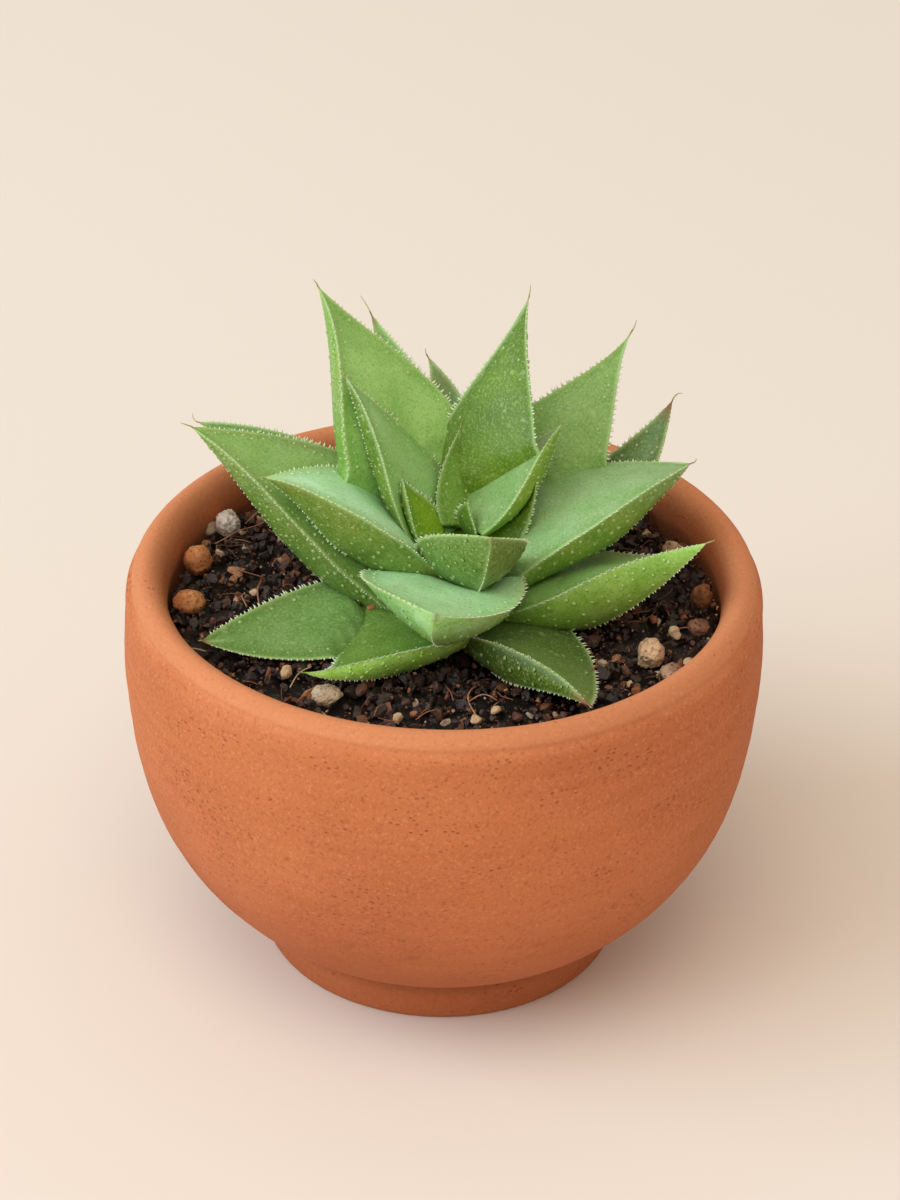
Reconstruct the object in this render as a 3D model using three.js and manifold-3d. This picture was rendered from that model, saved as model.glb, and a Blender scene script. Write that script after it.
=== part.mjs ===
// A haworthia, a small rosette of keeled and toothed leaves, in a round terracotta bowl.
// Millimetres, +Z up. The origin is the middle of the foot's underside, and -Y is the side that
// the leaf names call the front.

import * as THREE from 'three';
import { mergeVertices } from 'three/addons/utils/BufferGeometryUtils.js';
import Module from 'manifold-3d';

const wasm = await Module();
wasm.setup();

// Driving dimensions.
const POT_RADIUS = 60;
const POT_HEIGHT = 80.4;
const LIP_RADIUS = 55.6;
const LIP_HALF_WIDTH = 3.9;
const LIP_HALF_HEIGHT = 7.0;
const FOOT_RADIUS = 34.3;
const FOOT_HEIGHT = 8.8;
const RECESS_RADIUS = 23;
const RECESS_DEPTH = 2.2;
const DRAIN_RADIUS = 6;
const FLOOR_HEIGHT = 12.6;
const POT_SIDES = 44;
const WALL_STEPS = 6;
const BELLY_STEPS = 9;
const LIP_STEPS = 6;

const SOIL_HEIGHT = 71.8;
const SOIL_RADIUS = 50.6;
const SOIL_RINGS = 11;
const SOIL_SWELL = 0.9;
const SOIL_HOLLOW = 1.4;
const CRUMB_COUNT = 24;
const GAP = 0.3;
const STONE_LIFT = 0.3;

const STEM_X = 2;
const STEM_ROOT_DEPTH = 30;
const STEM_TOP = 14.6;
const LEAF_START = 3;
const TOOTH_HEIGHT = 0.75;
const TOOTH_PITCH = 4.5;
const AWN_LENGTH = 1.8;
const TOOTH_LEAN = 0.5;
const FLANK_FULLNESS = 0.56;
const PRESS_HEIGHT = 1.5;
const ROOM_PITCH = 7;

// Finishes.
const finish = (color, roughness) => new THREE.MeshStandardMaterial({ color, roughness, metalness: 0 });
const terracotta = finish(0xc46a3f, 0.85);
const peat = finish(0x2e211b, 0.95);
const leafGreen = finish(0x6f9e54, 0.45);
const olderGreen = finish(0x4f7f4a, 0.5);
const stemGreen = finish(0x8f9a5b, 0.7);
const pumiceWhite = finish(0xcbb9a6, 0.9);
const bakedClay = finish(0xa8693f, 0.9);
const lavaRed = finish(0x7d4a36, 0.9);

// A random sequence that is the same on every run.
function seeded(seed) {
  let state = seed;
  return () => {
    state = (state * 1664525 + 1013904223) % 4294967296;
    return state / 4294967296;
  };
}

// A smooth wavy field over space, about -1 to 1, for lumps.
function waves(x, y, z, phase) {
  const a = Math.sin(x * 1.31 + phase) * Math.cos(y * 1.13 - phase * 0.7);
  const b = Math.sin(y * 0.71 + z * 1.43 + phase * 1.9);
  const c = Math.cos(x * 0.53 - y * 0.61 + z * 0.9 + phase * 0.4);
  return (a + b + c) / 2.2;
}

// A closed solid from a geometry: shared corners are merged and its faces are turned outward.
function solidFrom(geometry) {
  const bare = geometry.clone();
  bare.deleteAttribute('normal');
  bare.deleteAttribute('uv');
  const merged = mergeVertices(bare, 1e-4);
  const points = merged.attributes.position.array;
  const corners = merged.index.array;
  const kept = [];
  let volume = 0;
  const a = new THREE.Vector3();
  const b = new THREE.Vector3();
  const c = new THREE.Vector3();
  for (let i = 0; i < corners.length; i += 3) {
    const [p, q, r] = [corners[i], corners[i + 1], corners[i + 2]];
    if (p === q || q === r || r === p) continue;
    kept.push(p, q, r);
    a.fromArray(points, 3 * p);
    b.fromArray(points, 3 * q);
    c.fromArray(points, 3 * r);
    volume += a.dot(b.cross(c));
  }
  if (volume < 0) kept.reverse();
  return new wasm.Manifold(new wasm.Mesh({
    numProp: 3,
    vertProperties: new Float32Array(points),
    triVerts: new Uint32Array(kept),
  }));
}

// The largest single body of a solid, so that a cut leaves no loose scrap.
function largestBody(solid) {
  const bodies = solid.decompose();
  return bodies.reduce((best, body) => (body.volume() > best.volume() ? body : best));
}

// A named mesh from a solid.
function meshOf(name, solid, material) {
  const { vertProperties, triVerts } = solid.getMesh();
  const geometry = new THREE.BufferGeometry();
  geometry.setAttribute('position', new THREE.BufferAttribute(vertProperties, 3));
  geometry.setIndex(new THREE.BufferAttribute(triVerts, 1));
  geometry.computeVertexNormals();
  const mesh = new THREE.Mesh(geometry, material);
  mesh.name = name;
  return mesh;
}

// The bowl's wall, as curves of radius and height.
const at = (radius, height) => new THREE.Vector2(radius, height);
const lipMiddle = POT_HEIGHT - LIP_HALF_HEIGHT;
const bellyOutside = new THREE.SplineCurve([
  at(FOOT_RADIUS + 0.8, FOOT_HEIGHT + 0.6), at(40.5, 12.4), at(45.2, 16.8), at(50, 22.8), at(56.8, 37.8),
  at(59.6, 55), at(POT_RADIUS, 64), at(LIP_RADIUS + LIP_HALF_WIDTH, lipMiddle),
]);
const bellyInside = new THREE.SplineCurve([
  at(LIP_RADIUS - LIP_HALF_WIDTH, lipMiddle), at(52.4, 62), at(51, 47), at(45.5, 31),
  at(35, 19), at(21, 13.8), at(12, FLOOR_HEIGHT),
]);

function lipArc(steps) {
  const points = [];
  for (let i = 1; i < steps; i++) {
    const angle = (Math.PI * i) / steps;
    const radius = LIP_RADIUS + LIP_HALF_WIDTH * Math.cos(angle);
    points.push(at(radius, lipMiddle + LIP_HALF_HEIGHT * Math.sin(angle)));
  }
  return points;
}

function potSolid() {
  const profile = [
    at(DRAIN_RADIUS, RECESS_DEPTH),
    at(RECESS_RADIUS - 1, RECESS_DEPTH),
    at(RECESS_RADIUS, 0),
    at(FOOT_RADIUS - 0.8, 0),
    at(FOOT_RADIUS, 0.9),
    at(FOOT_RADIUS, FOOT_HEIGHT),
    ...bellyOutside.getSpacedPoints(BELLY_STEPS),
    ...lipArc(LIP_STEPS),
    ...bellyInside.getSpacedPoints(WALL_STEPS),
    at(DRAIN_RADIUS, FLOOR_HEIGHT),
    at(DRAIN_RADIUS, RECESS_DEPTH),
  ];
  return solidFrom(new THREE.LatheGeometry(profile, POT_SIDES).rotateX(Math.PI / 2));
}

// The soil fills the bowl a gap clear of its wall. Its top is lumpy, and dips round the stem.
function soilTop(x, y) {
  const radius = Math.hypot(x, y);
  const hollow = SOIL_HOLLOW * (1 - THREE.MathUtils.smoothstep(radius, 8, 36));
  return SOIL_HEIGHT - hollow + SOIL_SWELL * waves(x * 0.42, y * 0.42, 0, 2.1);
}

function soilBody() {
  const wall = bellyInside.getSpacedPoints(WALL_STEPS).slice(1);
  const inset = wall.map((point) => at(point.x - GAP - 0.15, point.y + GAP + 0.1));
  const shoulder = at(inset[0].x - 0.1, SOIL_HEIGHT - 1.2);
  const profile = [at(0, FLOOR_HEIGHT + GAP + 0.1), ...inset.reverse(), shoulder];
  for (let i = SOIL_RINGS; i >= 0; i--) {
    profile.push(at((SOIL_RADIUS * i) / SOIL_RINGS, SOIL_HEIGHT));
  }
  const body = new THREE.LatheGeometry(profile, POT_SIDES).rotateX(Math.PI / 2);
  const place = body.attributes.position;
  for (let i = 0; i < place.count; i++) {
    if (place.getZ(i) > SOIL_HEIGHT - 0.01) {
      const x = place.getX(i);
      const y = place.getY(i);
      const edge = THREE.MathUtils.smoothstep(Math.hypot(x, y), SOIL_RADIUS - 3.6, SOIL_RADIUS);
      place.setZ(i, THREE.MathUtils.lerp(soilTop(x, y), SOIL_HEIGHT - 0.3, edge));
    }
  }
  return solidFrom(body);
}

// A lump of soil or stone: a ball of flat faces, pushed in and out and pressed to its sizes.
function lump(sizes, phase, detail, roughness) {
  const shape = new THREE.IcosahedronGeometry(1, detail);
  const place = shape.attributes.position;
  const point = new THREE.Vector3();
  for (let i = 0; i < place.count; i++) {
    point.fromBufferAttribute(place, i);
    const push = 1 + roughness * waves(point.x * 2.3, point.y * 2.3, point.z * 2.3, phase);
    place.setXYZ(i, point.x * push * sizes[0], point.y * push * sizes[1], point.z * push * sizes[2]);
  }
  return shape.rotateZ(phase * 2.4);
}

function crumbs() {
  const random = seeded(7);
  const solids = [];
  while (solids.length < CRUMB_COUNT) {
    const angle = random() * 2 * Math.PI;
    const radius = 14 + 33 * Math.sqrt(random());
    const size = 1.1 + 1.3 * random();
    const x = radius * Math.cos(angle);
    const y = radius * Math.sin(angle);
    const shape = lump([size, size * 0.85, size * 0.75], random() * 6, 0, 0.2);
    shape.translate(x, y, soilTop(x, y) + size * 0.05);
    solids.push(solidFrom(shape));
  }
  return solids;
}

// The larger grains on the soil: where each lies, its width, and what it is.
const STONES = [
  { name: 'pumice_left', x: -41.9, y: 25.2, wide: 5.2, tall: 5.8, material: pumiceWhite },
  { name: 'pumice_right', x: 37.9, y: -18.3, wide: 5.8, tall: 5.4, material: pumiceWhite },
  { name: 'pumice_front', x: -20.9, y: -33.4, wide: 5.6, tall: 3.6, material: pumiceWhite },
  { name: 'pumice_rear', x: 15, y: 43.5, wide: 4.8, tall: 3.8, material: pumiceWhite },
  { name: 'pumice_chip', x: 43.4, y: 18.1, wide: 4.6, tall: 3.0, material: pumiceWhite },
  { name: 'clay_grain_left', x: -46.8, y: 10.6, wide: 5.8, tall: 5.0, material: bakedClay },
  { name: 'clay_grain_left_low', x: -47.7, y: -2.6, wide: 5.6, tall: 5.0, material: bakedClay },
  { name: 'clay_grain_right', x: 48.5, y: 2.2, wide: 4.8, tall: 4.4, material: bakedClay },
  { name: 'clay_grain_rear', x: -21, y: 41, wide: 5.0, tall: 4.2, material: bakedClay },
  { name: 'lava_right', x: 47.2, y: -9.4, wide: 4.0, tall: 3.6, material: lavaRed },
  { name: 'lava_small_right', x: 41.6, y: -22.8, wide: 4.6, tall: 3.2, material: lavaRed },
  { name: 'lava_rear', x: 31, y: 35.5, wide: 4.6, tall: 3.6, material: lavaRed },
];

function stoneShape(stone, index, grow) {
  const sizes = [stone.wide / 2 + grow, stone.wide * 0.42 + grow, stone.tall / 2 + grow];
  const shape = lump(sizes, index * 1.7 + 0.4, 1, 0.13);
  return solidFrom(shape.translate(stone.x, stone.y, soilTop(stone.x, stone.y) + stone.tall * STONE_LIFT));
}

// The short stem: a blunt root crown in the soil, and a dome that the leaves grow round.
function stemSolid(grow) {
  const outline = new THREE.SplineCurve([
    [1.6, 1 - STEM_ROOT_DEPTH], [3.6, -22], [5.6, -10], [6.6, 0], [6, 6], [3.6, 11], [1, STEM_TOP - 0.4],
  ].map(([radius, height]) => at(radius, height)));
  const profile = [at(0, -STEM_ROOT_DEPTH - grow)];
  for (const point of outline.getSpacedPoints(9)) {
    profile.push(at(point.x + grow, point.y));
  }
  profile.push(at(0, STEM_TOP + grow));
  const shape = new THREE.LatheGeometry(profile, 14).rotateX(Math.PI / 2);
  return solidFrom(shape.translate(STEM_X, 0, SOIL_HEIGHT));
}

// The leaves, youngest first. Angles are degrees and lengths are millimetres.
// turn: the way that it grows out of the stem, 0 to the right and 90 to the rear
// rise and curl: its slope at the stem, and how much that changes up to the tip
// sweep: how far its heading swings; roll and twist: how its face leans, at the stem and on from there
// long, wide, deep: its size; belly: where it is widest; waist: its width at the stem over that width
// point: how full it stays towards the tip; keel: how far its back ridge lies to one side
// blunt: below 1, the body stays deep up to the tip and ends in a snout
// root: the height above the soil at which it leaves the stem
const LEAVES = [
  { name: 'leaf_bud', root: 14, turn: 24, rise: 113, curl: -40, sweep: 0, roll: 10, twist: 0,
    long: 8, wide: 6, deep: 1.5, belly: 0.35, waist: 0.7, point: 1.1, keel: 0 },
  { name: 'leaf_heart_rear', root: 15, turn: 95, rise: 45, curl: 0, sweep: -20, roll: 30, twist: 25,
    long: 19, wide: 8, deep: 3, belly: 0.25, waist: 0.7, point: 1.3, keel: 0 },
  { name: 'leaf_heart_left', root: 14, turn: 189, rise: 55, curl: 20, sweep: 5, roll: -35, twist: 25,
    long: 16, wide: 10, deep: 3, belly: 0.3, waist: 0.85, point: 1.2, keel: 0 },
  { name: 'leaf_heart_front', root: 8, turn: -78, rise: 60, curl: -36, sweep: 10, roll: -3, twist: -12,
    long: 28.5, wide: 19.5, deep: 9, belly: 0.6, waist: 0.55, point: 0.8, keel: 0.1, blunt: 0.4 },
  { name: 'leaf_heart_right', root: 16, turn: 35, rise: 45, curl: -20, sweep: 0, roll: -10, twist: -25,
    long: 26, wide: 16, deep: 6, belly: 0.35, waist: 0.65, point: 1.2, keel: -0.1 },
  { name: 'leaf_inner_rear_left', root: 13, turn: 150, rise: 63, curl: -20, sweep: 5, roll: 0, twist: 25,
    long: 36, wide: 20, deep: 5.5, belly: 0.3, waist: 0.7, point: 1.3, keel: 0.3 },
  { name: 'leaf_tall_rear', root: 10, turn: 65, rise: 61, curl: -5, sweep: -5, roll: 0, twist: -30,
    long: 49, wide: 25, deep: 5, belly: 0.25, waist: 0.7, point: 1.4, keel: 0 },
  { name: 'leaf_right_upper', root: 8, turn: 15, rise: 37, curl: -45, sweep: 10, roll: 5, twist: -25,
    long: 47, wide: 26, deep: 8, belly: 0.45, waist: 0.85, point: 0.9, keel: -0.6 },
  { name: 'leaf_left_inner', root: 6, turn: 186, rise: 63, curl: -70, sweep: -5, roll: 15, twist: -10,
    long: 42, wide: 26, deep: 10, belly: 0.45, waist: 0.75, point: 1.4, keel: 0.2 },
  { name: 'leaf_front', root: 10.5, turn: -99, rise: 15, curl: 2, sweep: 9, roll: 6, twist: -22,
    long: 33, wide: 29.5, deep: 9, belly: 0.42, waist: 0.75, point: 0.7, keel: 0.2, blunt: 0.3 },
  { name: 'leaf_tall_left', root: 9, turn: 127, rise: 58, curl: -15, sweep: 20, roll: -10, twist: 20,
    long: 56, wide: 28, deep: 8.5, belly: 0.35, waist: 0.7, point: 1.5, keel: 0.6 },
  { name: 'leaf_tall_right', root: 8, turn: 46, rise: 30, curl: 15, sweep: 0, roll: 20, twist: 10,
    long: 55, wide: 25, deep: 5, belly: 0.35, waist: 0.7, point: 1.8, keel: 0 },
  { name: 'leaf_right_lower', root: 4, turn: -7, rise: 13, curl: 20, sweep: -20, roll: 5, twist: -40,
    long: 48, wide: 27, deep: 10, belly: 0.35, waist: 0.75, point: 1.4, keel: -0.3 },
  { name: 'leaf_left_long', root: 4, turn: 164, rise: 39, curl: -25, sweep: 5, roll: -20, twist: 25,
    long: 55, wide: 28, deep: 10.5, belly: 0.3, waist: 0.8, point: 1, keel: 0.6 },
  { name: 'leaf_front_right', root: 3, turn: -53, rise: 6, curl: -5, sweep: -20, roll: 10, twist: -60,
    long: 47, wide: 22, deep: 6.5, belly: 0.5, waist: 0.7, point: 1.1, keel: -0.6 },
  { name: 'leaf_front_left', root: 6, turn: -118, rise: -10, curl: 32, sweep: -20, roll: 0, twist: 40,
    long: 44, wide: 28, deep: 5.5, belly: 0.3, waist: 0.7, point: 2.1, keel: 0.4 },
  { name: 'leaf_left_low', root: 6, turn: -153, rise: -10, curl: 20, sweep: -5, roll: 0, twist: -15,
    long: 48, wide: 21, deep: 2, belly: 0.4, waist: 0.7, point: 0.9, keel: 0 },
  { name: 'leaf_rear_left', root: 6, turn: 108, rise: 44, curl: -15, sweep: 10, roll: -5, twist: -5,
    long: 54, wide: 16, deep: 5, belly: 0.35, waist: 0.7, point: 1.3, keel: 0 },
  { name: 'leaf_rear_middle', root: 7, turn: 90, rise: 44, curl: -35, sweep: 20, roll: -20, twist: -25,
    long: 47, wide: 16, deep: 4.5, belly: 0.25, waist: 0.7, point: 1.4, keel: 0 },
  { name: 'leaf_rear_right', root: 4, turn: 32, rise: 6, curl: 55, sweep: 5, roll: 5, twist: 5,
    long: 54.5, wide: 18, deep: 5, belly: 0.35, waist: 0.7, point: 1.1, keel: 0 },
  { name: 'leaf_left_rear', root: 6, turn: 149, rise: 30, curl: -35, sweep: 0, roll: 5, twist: -10,
    long: 58, wide: 18, deep: 5, belly: 0.35, waist: 0.7, point: 1, keel: 0 },
  { name: 'leaf_low_rear_left', root: 4, turn: 128, rise: 16, curl: -5, sweep: 5, roll: 5, twist: 5,
    long: 36, wide: 19, deep: 5, belly: 0.4, waist: 0.7, point: 1.1, keel: 0.1 },
  { name: 'leaf_low_rear_right', root: 4, turn: 62, rise: 14, curl: -5, sweep: -5, roll: -5, twist: -10,
    long: 38, wide: 19, deep: 5, belly: 0.4, waist: 0.7, point: 1.1, keel: -0.1 },
];

// The leaves from this place in the list on are the oldest, and darker.
const YOUNGER_LEAVES = 17;

const radians = THREE.MathUtils.degToRad;

// A share of the full width along the leaf: from the waist out to the belly, then in to the tip.
function fullness(along, belly, waist, fall, point) {
  if (along < belly) {
    const inward = (belly - along) / belly;
    return 1 - (1 - waist) * inward * inward;
  }
  const outward = (along - belly) / (1 - belly);
  return Math.max(0, 1 - outward ** fall) ** point;
}

// The middle line of a leaf's upper face, with the directions along, across and up out of it,
// at each station, which is a share of the length.
function leafFrames(leaf, stations) {
  const start = radians(leaf.turn);
  const place = new THREE.Vector3(
    STEM_X + LEAF_START * Math.cos(start), LEAF_START * Math.sin(start), SOIL_HEIGHT + leaf.root);
  const strides = 120;
  let walked = 0;
  const directionAt = (along) => {
    const bend = along ** 1.4;
    const slope = radians(leaf.rise + leaf.curl * bend);
    const heading = radians(leaf.turn + leaf.sweep * bend);
    const flat = Math.cos(slope);
    const forward = new THREE.Vector3(
      flat * Math.cos(heading), flat * Math.sin(heading), Math.sin(slope));
    return { forward, level: new THREE.Vector3(-Math.sin(heading), Math.cos(heading), 0) };
  };
  return stations.map((along) => {
    while (walked < along) {
      const stride = Math.min(1 / strides, along - walked);
      place.addScaledVector(directionAt(walked + stride / 2).forward, stride * leaf.long);
      walked += stride;
    }
    const { forward, level } = directionAt(along);
    const across = level.applyAxisAngle(forward, radians(leaf.roll + leaf.twist * along));
    const above = forward.clone().cross(across);
    return { along, place: place.clone(), forward, across, above };
  });
}

// The half width, the depth and the crown of a leaf's section at a share of its length.
function leafSize(leaf, along) {
  const keelBelly = Math.min(leaf.belly + 0.08, 0.6);
  return {
    half: Math.max(0.4, (leaf.wide / 2) * fullness(along, leaf.belly, leaf.waist, 1.7, leaf.point)),
    depth: Math.max(0.6, leaf.deep * fullness(along, keelBelly, 0.55, 1.6, leaf.blunt ?? 1)),
    crown: leaf.wide * (0.045 - 0.06 * along),
  };
}

// One section: left edge, crown, right edge, right flank, keel and left flank.
function leafSection(leaf, frame, tooth) {
  const { half, depth, crown } = leafSize(leaf, frame.along);
  const spike = Math.min(tooth, half * 0.4);
  const keelSide = leaf.keel * half;
  const flank = half * FLANK_FULLNESS;
  return [
    [half + spike, 0],
    [0, crown],
    [-half - spike, 0],
    [keelSide * 0.5 - flank, -depth * FLANK_FULLNESS],
    [keelSide, -depth - spike * 0.8],
    [keelSide * 0.5 + flank, -depth * FLANK_FULLNESS],
  ].map(([side, up]) => placeIn(frame, side, up));
}

// The section of the room that a leaf takes up, larger by grow, and lifted above its face by press.
function roomSection(leaf, frame, grow, press) {
  const { half, depth, crown } = leafSize(leaf, frame.along);
  const edge = half + grow;
  const keelSide = leaf.keel * half;
  const flank = half * FLANK_FULLNESS + grow * 0.9;
  return [
    [edge, -grow * 0.5],
    [edge, press * 0.6],
    [0, crown + press],
    [-edge, press * 0.6],
    [-edge, -grow * 0.5],
    [keelSide * 0.5 - flank, -depth * FLANK_FULLNESS - grow * 0.6],
    [keelSide, -depth - grow],
    [keelSide * 0.5 + flank, -depth * FLANK_FULLNESS - grow * 0.6],
  ].map(([side, up]) => placeIn(frame, side, up));
}

function placeIn(frame, side, up) {
  return frame.place.clone().addScaledVector(frame.across, side).addScaledVector(frame.above, up);
}

// A closed skin over a row of sections, with a point before the first and after the last.
function skin(sections, firstPoint, lastPoint) {
  const sides = sections[0].length;
  const points = [...sections.flat(), firstPoint, lastPoint];
  const corners = [];
  for (let i = 0; i + 1 < sections.length; i++) {
    for (let j = 0; j < sides; j++) {
      const k = (j + 1) % sides;
      const [a, b, c, d] = [i * sides + j, i * sides + k, (i + 1) * sides + k, (i + 1) * sides + j];
      corners.push(a, b, c, a, c, d);
    }
  }
  const end = (sections.length - 1) * sides;
  for (let j = 0; j < sides; j++) {
    const k = (j + 1) % sides;
    corners.push(points.length - 2, k, j);
    corners.push(points.length - 1, end + j, end + k);
  }
  return solidFrom(new THREE.BufferGeometry().setFromPoints(points).setIndex(corners));
}

// A leaf, with a hair point at its tip. Every second section stands out at the edges and the keel
// and lies close to the one after it, which makes the row of teeth, leaning towards the tip.
function leafSolid(leaf) {
  const steps = 2 * Math.round(leaf.long / TOOTH_PITCH);
  const stations = [];
  for (let i = 0; i <= steps; i++) {
    stations.push((i + (i % 2) * TOOTH_LEAN) / steps);
  }
  const frames = leafFrames(leaf, stations);
  const sections = frames.map((frame, i) => {
    const toothed = i % 2 === 1 && frame.along > 0.1;
    return leafSection(leaf, frame, toothed ? TOOTH_HEIGHT : 0);
  });
  const first = frames[0];
  const last = frames[steps];
  const heel = first.place.clone().addScaledVector(first.above, -leaf.deep * 0.2);
  const hair = last.place.clone().addScaledVector(last.forward, Math.min(AWN_LENGTH, leaf.long * 0.1));
  return skin(sections, heel, hair);
}

// The room that a leaf takes from its neighbours: a coarse leaf, larger by a clearance all round.
function leafRoom(leaf, grow, press) {
  const steps = Math.max(5, Math.round(leaf.long / ROOM_PITCH));
  const stations = [];
  for (let i = 0; i <= steps; i++) {
    stations.push(i / steps);
  }
  const frames = leafFrames(leaf, stations);
  const sections = frames.map((frame) => roomSection(leaf, frame, grow, press));
  const first = frames[0];
  const last = frames[steps];
  const heel = first.place.clone().addScaledVector(first.forward, -grow);
  const tip = last.place.clone().addScaledVector(last.forward, AWN_LENGTH + grow);
  return skin(sections, heel, tip);
}

// Each leaf is cut back from the stem and from every younger leaf that presses on it.
function growLeaves() {
  const grownStem = stemSolid(GAP + 0.05);
  const pressed = [];
  return LEAVES.map((leaf) => {
    let solid = leafSolid(leaf).subtract(grownStem);
    for (const younger of pressed) {
      solid = solid.subtract(younger);
    }
    pressed.push(leafRoom(leaf, GAP + TOOTH_HEIGHT + 0.15, PRESS_HEIGHT));
    return { leaf, solid: largestBody(solid) };
  });
}

const plant = new THREE.Group();
plant.name = 'potted_haworthia';

const leaves = growLeaves();
let soil = soilBody();
for (const crumb of crumbs()) {
  soil = soil.add(crumb);
}
soil = soil.subtract(stemSolid(GAP));
for (const leaf of LEAVES) {
  soil = soil.subtract(leafRoom(leaf, GAP + TOOTH_HEIGHT, 0));
}
STONES.forEach((stone, index) => {
  soil = soil.subtract(stoneShape(stone, index, GAP));
});

plant.add(meshOf('pot', potSolid(), terracotta));
plant.add(meshOf('soil', largestBody(soil), peat));
plant.add(meshOf('stem', stemSolid(0), stemGreen));
leaves.forEach(({ leaf, solid }, index) => {
  plant.add(meshOf(leaf.name, solid, index < YOUNGER_LEAVES ? leafGreen : olderGreen));
});
STONES.forEach((stone, index) => {
  plant.add(meshOf(stone.name, stoneShape(stone, index, 0), stone.material));
});

export default plant;
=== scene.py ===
# %% [markdown]
# This lesson dresses a potted haworthia. The solids of the bowl, the soil, the stem, the leaves
# and the stones come in as a fixed frame. Each of them gets a finer piece in the same place, and
# each piece gets a finish made of nodes. Lengths are written in millimetres, as on a drawing, and
# MM turns them into Blender's metres when a mesh is made.

# %% Load the frame
import itertools
import math

import bpy
import numpy as np
from mathutils import Matrix, Vector


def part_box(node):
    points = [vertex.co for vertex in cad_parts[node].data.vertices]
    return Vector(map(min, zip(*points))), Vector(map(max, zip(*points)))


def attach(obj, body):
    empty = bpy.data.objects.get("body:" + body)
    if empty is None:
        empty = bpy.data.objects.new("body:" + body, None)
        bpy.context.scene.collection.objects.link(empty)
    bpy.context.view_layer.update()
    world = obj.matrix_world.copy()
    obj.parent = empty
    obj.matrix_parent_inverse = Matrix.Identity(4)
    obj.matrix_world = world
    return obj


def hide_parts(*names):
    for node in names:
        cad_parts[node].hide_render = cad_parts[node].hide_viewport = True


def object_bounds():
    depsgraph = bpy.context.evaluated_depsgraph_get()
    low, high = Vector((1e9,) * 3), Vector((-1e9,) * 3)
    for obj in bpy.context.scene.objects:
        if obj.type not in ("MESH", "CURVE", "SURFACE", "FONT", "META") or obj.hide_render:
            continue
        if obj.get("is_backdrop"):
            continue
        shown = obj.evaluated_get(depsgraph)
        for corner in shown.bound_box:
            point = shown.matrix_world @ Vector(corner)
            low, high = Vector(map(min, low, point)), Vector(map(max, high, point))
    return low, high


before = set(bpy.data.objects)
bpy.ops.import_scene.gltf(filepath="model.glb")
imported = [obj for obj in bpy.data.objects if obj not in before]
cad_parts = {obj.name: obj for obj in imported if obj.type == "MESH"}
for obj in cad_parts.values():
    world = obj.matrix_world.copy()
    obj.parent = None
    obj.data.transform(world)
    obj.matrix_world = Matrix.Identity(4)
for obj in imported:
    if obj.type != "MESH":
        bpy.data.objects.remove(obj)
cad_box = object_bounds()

MM = 0.001
print("nodes in the frame:", len(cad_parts))

# %% [markdown]
# The picture was taken with a long lens from in front, about a third of the way up to straight
# above. The camera is a plain perspective one, and its small roll is a turn about its own view
# line. Making it first lets every later cell be looked at as it is written.

# %% The camera
EYE = Vector((1.07, -592.3, 445.5)) * MM
AIM = Vector((1.07, 0, 72.5)) * MM
LENS = 112.08
ROLL = math.radians(0.95)


def add_object(name, data, matrix=Matrix()):
    """Puts data into the scene as an object with this place and turn."""
    new = bpy.data.objects.new(name, data)
    new.matrix_world = matrix
    bpy.context.scene.collection.objects.link(new)
    return new


def looking(place, aim):
    """The place and turn of something at place whose own -Z points at aim."""
    turn = (Vector(aim) - Vector(place)).to_track_quat("-Z", "Y")
    return Matrix.Translation(place) @ turn.to_matrix().to_4x4()


camera_data = bpy.data.cameras.new("camera")
camera_data.lens = LENS
camera_data.clip_start = 0.01
camera = add_object("camera", camera_data, looking(EYE, AIM) @ Matrix.Rotation(ROLL, 4, "Z"))
bpy.context.scene.camera = camera
bpy.context.scene.view_settings.view_transform = "Standard"
print("camera is", round((EYE - AIM).length, 3), "m from its aim")

# %% [markdown]
# Node graphs are easier to read as sums. Wire wraps one output socket, so that `1 - mask * 0.5`
# adds its Math nodes by itself. Colours and vectors go through Mix and Vector Math instead,
# because a Math node would turn them grey. Every other node comes from `node`, which sets the
# node's own settings first and then its sockets.


# %% Sums on sockets
def plug(socket, value):
    """Links a wire to a socket, or sets the socket's own constant."""
    if isinstance(value, Wire):
        socket.id_data.links.new(value.socket, socket)
    else:
        socket.default_value = value


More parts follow.
